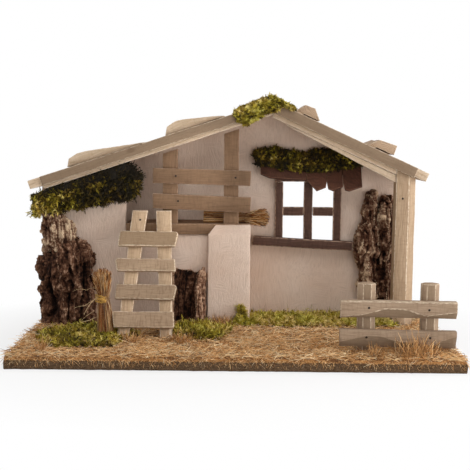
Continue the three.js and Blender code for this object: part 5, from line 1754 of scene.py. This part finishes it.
@dataclass
class MossPatch:
    """One patch of dried moss: a dark cushion, painted dark as shade under the sprigs, with sprigs standing
    out of it.
    """

    node: str
    sprigs: int
    shortest: float
    longest: float
    lean: Vector
    tone: float
    tone_drift: Vector
    seed: int
    spread: float = 0.55
    width: float = 1.1 * MM
    shrink: float = 0.0
    blades: int = 0
    fallen: int = 0
    cushion_voxel: float = 2.2 * MM
    cushion_depth: float = 1.2 * MM
    clump_size: float = 11 * MM
    outside_share: float = 1 / 6
    # Mounds that bank up against the block, in millimetres: across, back, height, radius.
    mounds: tuple[tuple[float, float, float, float], ...] = ()

    def build(self, finishes: Finishes, sprig: Strand) -> None:
        """Roughens the cushion, plants the sprigs over it and strews a few straws.

        Args:
            finishes: The stable's finishes.
            sprig: The modelled sprig.
        """
        cushion = copy_of(self.node, f"{self.node}_cushion")
        activate(cushion)
        cushion.data.remesh_voxel_size = self.cushion_voxel
        bpy.ops.object.voxel_remesh()
        wobble(cushion, 2.0 * MM, 8 * MM, float(self.seed))
        points = points_of(cushion)
        normals = np.array([vertex.normal for vertex in cushion.data.vertices])
        place_points(cushion, points - normals * (self.cushion_depth + self.shrink))
        low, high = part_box(self.node)
        points = points_of(cushion)
        points[:, 2] = np.maximum(points[:, 2], min(low.z, points[:, 2].max()))
        place_points(cushion, points)
        smooth(cushion, 60)
        # The cushion takes the full darkening of a sprig's root and a lower tone: painted shade under the
        # sprigs.
        write_values(cushion, "along", np.full(len(points), 0.0))
        write_values(cushion, "tone", np.full(len(points), max(0.0, self.tone - 0.3)))
        parts = [cushion, self._plant(cushion, sprig, np.array((low + high) / 2), np.array(high - low))]
        for number, mound in enumerate(self.mounds):
            parts.append(self._mound(sprig, number, *mound))
        if self.blades:
            parts.append(self._strew(
                cushion, "blades", self.blades, lengths=(7 * MM, 16 * MM), slope=0.9,
                width=0.55 * MM, tone=0.62,
            ))
        if self.fallen:
            straws = self._strew(
                cushion, "fallen_straws", self.fallen, lengths=(8 * MM, 26 * MM), slope=0.12,
                width=0.75 * MM, tone=0.6,
            )
            dress(straws, finishes.loose_straw, "loose_straw")
        dress(join(parts, f"{self.node}_sprigs"), finishes.moss, "moss", self.node)

    def _mound(
        self, sprig: Strand, number: int, across: float, back: float, height: float, radius: float,
    ) -> bpy.types.Object:
        """Banks sprigs up into a mound.

        Args:
            sprig: The modelled sprig.
            number: The mound's number in the patch.
            across: The mound's place to the right, in millimetres.
            back: Its place to the back, in millimetres.
            height: Its height, in millimetres.
            radius: Its radius at the foot, in millimetres.

        Returns:
            The mound.
        """
        chance = np.random.default_rng(self.seed + 50 + number)
        count = int(14 * height + 8 * radius)
        rise = chance.uniform(0, 1, count) ** 1.2
        flat = np.clip(chance.normal(0, 0.6, (count, 2)), -1.3, 1.3) * radius * (1 - 0.8 * rise)[:, None]
        roots = np.column_stack([across + flat[:, 0], back + flat[:, 1], 8 + rise * (height - 4)]) * MM
        reaches = np.column_stack([flat * 0.6, np.full(count, 4.0)]) + chance.normal(0, 2.0, (count, 3))
        bends = chance.normal(0, 1.5, (count, 3))
        tones = np.clip(chance.normal(0.7, 0.24, count), 0, 1)
        widths = np.full(count, self.width)
        return sprig.copies(
            f"{self.node}_mound_{number}", roots, reaches * MM, bends * MM, widths, tones, self.seed,
        )

    def _strew(
        self, cushion: bpy.types.Object, kind: str, count: int, lengths: tuple[float, float],
        slope: float, width: float, tone: float,
    ) -> bpy.types.Object:
        """Lays or stands thin curved strands on top of the cushion.

        Args:
            cushion: The cushion.
            kind: What the strands are, for the piece's name.
            count: How many there are.
            lengths: The shortest and the longest.
            slope: How steeply they stand, from 0 for lying to 1.
            width: Their width.
            tone: Their middle place in the finish's range of colours.

        Returns:
            The strands in one piece.
        """
        chance = np.random.default_rng(self.seed + len(kind))
        tops = np.array([face.center for face in cushion.data.polygons if face.normal.z > 0.5])
        roots = tops[chance.integers(0, len(tops), count)] + np.array([0, 0, 1.6]) * MM
        turn = chance.uniform(0, 2 * math.pi, count)
        rise = chance.uniform(0.4, 1.0, count) * slope
        way = np.stack([np.cos(turn) * (1.05 - rise), np.sin(turn) * (1.05 - rise), rise], axis=1)
        length = chance.uniform(*lengths, count)
        reaches = way / np.linalg.norm(way, axis=1, keepdims=True) * length[:, None]
        if slope < 0.5:
            roots -= reaches / 2
        bends = chance.normal(0, 0.3, (count, 3)) * length[:, None]
        bends[:, 2] = -np.abs(bends[:, 2]) * (0.5 if slope > 0.5 else 0.1)
        return straw_strand(3, 4).copies(
            f"{self.node}_{kind}", roots, reaches, bends, np.full(count, width),
            np.clip(chance.normal(tone, 0.2, count), 0, 1), self.seed,
        )

    def _plant(
        self, cushion: bpy.types.Object, sprig: Strand, middle: np.ndarray, size: np.ndarray,
    ) -> bpy.types.Object:
        """Plants sprigs at random over the cushion's faces.

        Args:
            cushion: The cushion.
            sprig: The modelled sprig.
            middle: The patch's middle.
            size: The patch's size.

        Returns:
            The sprigs in one piece.
        """
        chance = np.random.default_rng(self.seed)
        faces = cushion.data.polygons
        area = np.array([face.area for face in faces])
        centres = np.array([face.center for face in faces])
        normals = np.array([face.normal for face in faces])
        if "ground" in self.node:
            area = area * (normals[:, 2] > -0.6)
        if "eave" in self.node:
            far = (centres[:, 0] - middle[0]) / size[0]
            area = area * ((normals[:, 2] < 0.25) | (far > 0.0)) * (normals[:, 0] > -0.5)
        picked = chance.choice(len(area), self.sprigs, p=area / area.sum())
        # Some sprigs grow outside the cushion, so that the patch has no clean outline.
        outside = (chance.uniform(0, 1, self.sprigs) < self.outside_share) & ("ground" in self.node)
        reach = np.where(outside, 4.5 * MM, 1.1 * MM)[:, None] * np.array([1, 1, 0.3])
        roots = centres[picked] + chance.normal(0, 1, (self.sprigs, 3)) * reach
        way = normals[picked] * self.spread + np.array(self.lean) + chance.normal(0, 0.42, (self.sprigs, 3))
        if "eave" in self.node:
            # Sprigs high up under the bargeboard point backwards, clear of its face.
            rise = centres[picked] @ np.array((-0.262, 0, 0.965))
            way[:, 1] = np.where(rise > rise.max() - 14 * MM, np.abs(way[:, 1]), way[:, 1])
        way /= np.linalg.norm(way, axis=1, keepdims=True)
        length = self.shortest + (self.longest - self.shortest) * chance.beta(1.6, 2.6, self.sprigs)
        reaches = way * length[:, None]
        bends = chance.normal(0, 0.28, (self.sprigs, 3)) * length[:, None]
        across = ((roots - middle) / size) @ np.array(self.tone_drift)
        start = Vector((self.seed, 0, 0))
        clump = np.array([noise.noise(Vector(root) / self.clump_size + start) for root in roots])
        tones = np.clip(self.tone + across + 0.5 * clump + chance.normal(0, 0.24, self.sprigs), 0, 1)
        widths = self.width * chance.uniform(0.7, 1.3, self.sprigs)
        return sprig.copies(f"{self.node}_planted", roots, reaches, bends, widths, tones, self.seed)


@dataclass
class Moss:
    """Every patch of moss, on the ground, on the ridge, under the eave and over the window."""

    def build(self, finishes: Finishes) -> None:
        """Builds the patches.

        Args:
            finishes: The stable's finishes.
        """
        feathery = moss_sprig(7, 0.3, 2.6)
        hanging = Vector((0.15, -0.15, -0.6))
        rising = Vector((0.0, -0.1, 0.55))
        patches = (
            MossPatch(
                "ground_moss_left", sprigs=4200, shortest=3 * MM, longest=8 * MM, lean=rising,
                tone=0.55, tone_drift=Vector((0.1, 0, 0)), seed=31, shrink=2 * MM, blades=120, fallen=50,
            ),
            MossPatch(
                "ground_moss_centre", sprigs=2800, shortest=4 * MM, longest=11 * MM, lean=rising,
                tone=0.66, tone_drift=Vector((0, 0, 0)), seed=32, shrink=3 * MM, blades=260, fallen=45,
            ),
            MossPatch(
                "ground_moss_back", sprigs=3800, shortest=3 * MM, longest=8 * MM, lean=rising,
                tone=0.9, tone_drift=Vector((0.1, 0, 0)), seed=33, shrink=2 * MM, blades=200, fallen=110,
                mounds=((6, 41, 32, 7), (13, 40, 16, 7), (-2, 40, 13, 6), (20, 42, 12, 6)),
            ),
            MossPatch(
                "ridge_moss", sprigs=5200, shortest=1.5 * MM, longest=4.5 * MM,
                lean=Vector((0, -0.2, 0)), tone=0.6, tone_drift=Vector((0.1, 0, 0.1)), seed=34,
                shrink=1.5 * MM,
            ),
            # The eave moss is painted paler towards its left corner and its lower edge: painted light where
            # the lamps reach past the eave.
            MossPatch(
                "eave_moss", sprigs=5000, shortest=4 * MM, longest=11 * MM, lean=hanging,
                tone=0.14, tone_drift=Vector((-0.75, 0, -0.35)), seed=35, shrink=1.5 * MM,
            ),
            MossPatch(
                "window_moss", sprigs=4200, shortest=2.5 * MM, longest=8 * MM,
                lean=Vector((0, -0.3, 0.3)), tone=0.17, tone_drift=Vector((-0.1, 0, -0.1)), seed=36,
            ),
        )
        for patch in patches:
            patch.build(finishes, feathery)


@dataclass
class Nails:
    """The small nails in the rails, two posts and a ladder leg, each seated on the timber's face."""

    head: float = 2.7 * MM
    proud: float = 0.35 * MM
    edge: float = 0.2 * MM
    blow_from: float = -300 * MM
    places: tuple[tuple[str, float, float], ...] = (
        ("railing_rail_upper", -77.5, 201.5), ("railing_rail_lower", -74.5, 170.0),
        ("railing_rail_upper", -2.5, 200.0), ("railing_post_right", -3.5, 158.5),
        ("fence_rail_upper", 146.0, 66.0), ("fence_rail_upper", 212.0, 64.0),
        ("fence_rail_lower", 144.0, 33.0), ("fence_rail_lower", 214.0, 33.0),
        ("corner_post", 206.5, 176.0), ("ladder_leg_left", -121.0, 147.0),
    )

    def build(self, finishes: Finishes) -> None:
        """Drives the nails.

        Args:
            finishes: The stable's finishes.
        """
        bpy.context.view_layer.update()
        model = self._head()
        heads = [self._driven(model, *place) for place in self.places]
        bpy.data.objects.remove(model)
        dress(join(heads, "nail_heads"), finishes.nail_steel, "")

    def _head(self) -> bpy.types.Object:
        """Models one nail's head about the origin.

        Returns:
            The head.
        """
        bpy.ops.object.select_all(action="DESELECT")
        bpy.ops.mesh.primitive_cylinder_add(vertices=14, radius=self.head / 2, depth=2 * self.proud)
        head = bpy.context.object
        apply_modifier(head, "BEVEL", width=self.edge, segments=2, limit_method="ANGLE")
        smooth(head)
        return head

    def _driven(self, model: bpy.types.Object, node: str, x: float, z: float) -> bpy.types.Object:
        """Copies the head to where a straight blow from the front meets the timber.

        Args:
            model: The modelled head.
            node: The CAD node that the nail is driven into.
            x: The nail's place to the right, in millimetres.
            z: Its height, in millimetres.

        Returns:
            The head in its place, with its own mesh.
        """
        start = Vector((x * MM, self.blow_from, z * MM))
        hit, spot, normal, _ = bpy.data.objects[f"{node}_timber"].ray_cast(start, TO_THE_BACK)
        if not hit:
            raise ValueError(f"the nail at {x}, {z} misses {node}")
        head = bpy.data.objects.new("nail_head", model.data.copy())
        turn = normal.to_track_quat("Z", "Y").to_matrix().to_4x4()
        head.data.transform(Matrix.Translation(spot) @ turn)
        bpy.context.scene.collection.objects.link(head)
        return head


def seen_directly(tree: bpy.types.NodeTree) -> bpy.types.NodeSocket:
    """Says whether a ray comes from the camera, straight or by way of gloss or glass.

    Args:
        tree: The node tree.

    Returns:
        The socket of 1 for such a ray and 0 for any other.
    """
    path = add_node(tree, "LightPath").outputs
    by_way = {0: path["Is Glossy Ray"], 1: path["Is Transmission Ray"]}
    bounced = add_node(tree, "Math", by_way, 0, operation="MAXIMUM")
    straight = {0: path["Is Camera Ray"], 1: bounced}
    return add_node(tree, "Math", straight, 0, operation="MAXIMUM")


@dataclass
class Studio:
    """The camera at the photograph's place, soft lights and a plain white floor."""

    camera_place: Vector = field(default_factory=lambda: Vector((5.1, -1045.9, 250.8)) * MM)
    yaw: float = math.radians(-0.400)
    pitch: float = math.radians(6.381)
    roll: float = math.radians(-0.484)
    focal_pixels: float = 877.0
    frame_pixels: float = 470.0
    sensor: float = 36.0
    nearest: float = 50 * MM
    floor_drop: float = 0.2 * MM
    floor_radius: float = 6.0
    fill: float = 0.15

    def build(self) -> None:
        """Sets up the camera, the lights, the floor and the world."""
        self._camera()
        self._lights()
        self._floor()
        self._world()
        bpy.context.scene.view_settings.view_transform = "Standard"

    def _camera(self) -> None:
        """Points the camera as the photograph's was."""
        forward = Vector((
            math.sin(self.yaw) * math.cos(self.pitch),
            math.cos(self.yaw) * math.cos(self.pitch),
            -math.sin(self.pitch),
        ))
        right = Vector((math.cos(self.yaw), -math.sin(self.yaw), 0))
        down = forward.cross(right)
        across = right * math.cos(self.roll) + down * math.sin(self.roll)
        below = down * math.cos(self.roll) - right * math.sin(self.roll)
        data = bpy.data.cameras.new("camera")
        data.sensor_width = self.sensor
        data.lens = self.focal_pixels / self.frame_pixels * self.sensor
        data.clip_start = self.nearest
        camera = bpy.data.objects.new("camera", data)
        turn = Matrix((across, -below, -forward)).transposed()
        camera.matrix_world = Matrix.Translation(self.camera_place) @ turn.to_4x4()
        bpy.context.scene.collection.objects.link(camera)
        bpy.context.scene.camera = camera

    def _lights(self) -> None:
        """Hangs broad lights over, behind, beside and before the stable, and two small ones.

        Each has its name, its place, what it faces, its width in metres and its power in watts. The
        low light fills the bay from the front right, and the loft light stands for what the walls
        throw back into the loft.
        """
        lights = (
            ("top_light", (0.0, -0.75, 1.2), (0.0, 0.0, 0.12), 1.0, 8.0),
            ("roof_light", (0.0, 0.4, 1.35), (0.0, 0.0, 0.12), 1.0, 4.5),
            ("right_light", (1.3, -0.35, 0.14), (0.0, 0.0, 0.12), 0.8, 10.0),
            ("end_light", (1.35, -0.05, 0.25), (0.0, 0.0, 0.12), 0.8, 8.5),
            ("left_light", (-1.35, -0.15, 0.3), (0.0, 0.0, 0.12), 0.8, 4.0),
            ("front_light", (0.0, -1.6, 0.12), (0.0, 0.0, 0.12), 0.8, 1.2),
            ("low_light", (0.42, -0.6, 0.1), (0.05, 0.05, 0.14), 0.35, 1.3),
            ("loft_light", (-0.04, 0.0, 0.2), (-0.13, 0.05, 0.2), 0.08, 0.025),
        )
        for name, place, aim, size, power in lights:
            data = bpy.data.lights.new(name, "AREA")
            data.shape = "SQUARE"
            data.size = size
            data.energy = power
            light = bpy.data.objects.new(name, data)
            light.location = place
            light.rotation_euler = (Vector(aim) - Vector(place)).to_track_quat("-Z", "Y").to_euler()
            bpy.context.scene.collection.objects.link(light)

    def _floor(self) -> None:
        """Lays a white floor that keeps the shadow near the stable and fades to plain white."""
        bpy.ops.object.select_all(action="DESELECT")
        bpy.ops.mesh.primitive_circle_add(
            vertices=96, radius=self.floor_radius, fill_type="NGON", location=(0, 0, -self.floor_drop),
        )
        floor = bpy.context.object
        floor.name = "floor"
        material, tree = new_material("white_floor")
        place = add_node(tree, "TexCoord", output="Object")
        oval = add_node(tree, "VectorMath", {0: place, 1: (1.0, 1.5, 1.0)}, 0, operation="MULTIPLY")
        away = add_node(tree, "VectorMath", {0: oval}, "Value", operation="LENGTH")
        fade = add_node(tree, "MapRange", {0: away, 1: 0.25, 2: 0.5, 3: 0.6, 4: 1.0}, 0)
        share = add_node(tree, "Math", {0: fade, 1: seen_directly(tree)}, 0, operation="MULTIPLY")
        matt = add_node(tree, "BsdfDiffuse", {"Color": colour(0xFDFDFD)}, 0)
        white = add_node(tree, "Emission", {"Color": WHITE, "Strength": 1.0}, 0)
        mixed = add_node(tree, "MixShader", {0: share, 1: matt, 2: white}, 0)
        add_node(tree, "OutputMaterial", {"Surface": mixed})
        floor.data.materials.append(material)

    def _world(self) -> None:
        """Makes the world plain white to the camera and a soft fill to the stable."""
        world = bpy.data.worlds.new("studio")
        bpy.context.scene.world = world
        world.use_nodes = True
        tree = world.node_tree
        tree.nodes.clear()
        fill = add_node(tree, "Background", {"Color": WHITE, "Strength": self.fill}, 0)
        white = add_node(tree, "Background", {"Color": WHITE, "Strength": 1.0}, 0)
        mixed = add_node(tree, "MixShader", {0: seen_directly(tree), 1: fill, 2: white}, 0)
        add_node(tree, "OutputWorld", {"Surface": mixed})


def main() -> None:
    """Builds the stable and its studio."""
    logging.basicConfig(level=logging.INFO, format="%(message)s")
    noise.seed_set(NOISE_SEED)
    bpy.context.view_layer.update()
    finishes = Finishes()
    Studio().build()
    for assembly in (
        Ground(), Walls(), Roof(), HayLoft(), Ladder(), WindowUnit(), Fence(), Bark(),
        StrawBundles(), Moss(), Nails(),
    ):
        assembly.build(finishes)


if __name__ == "__main__":
    main()
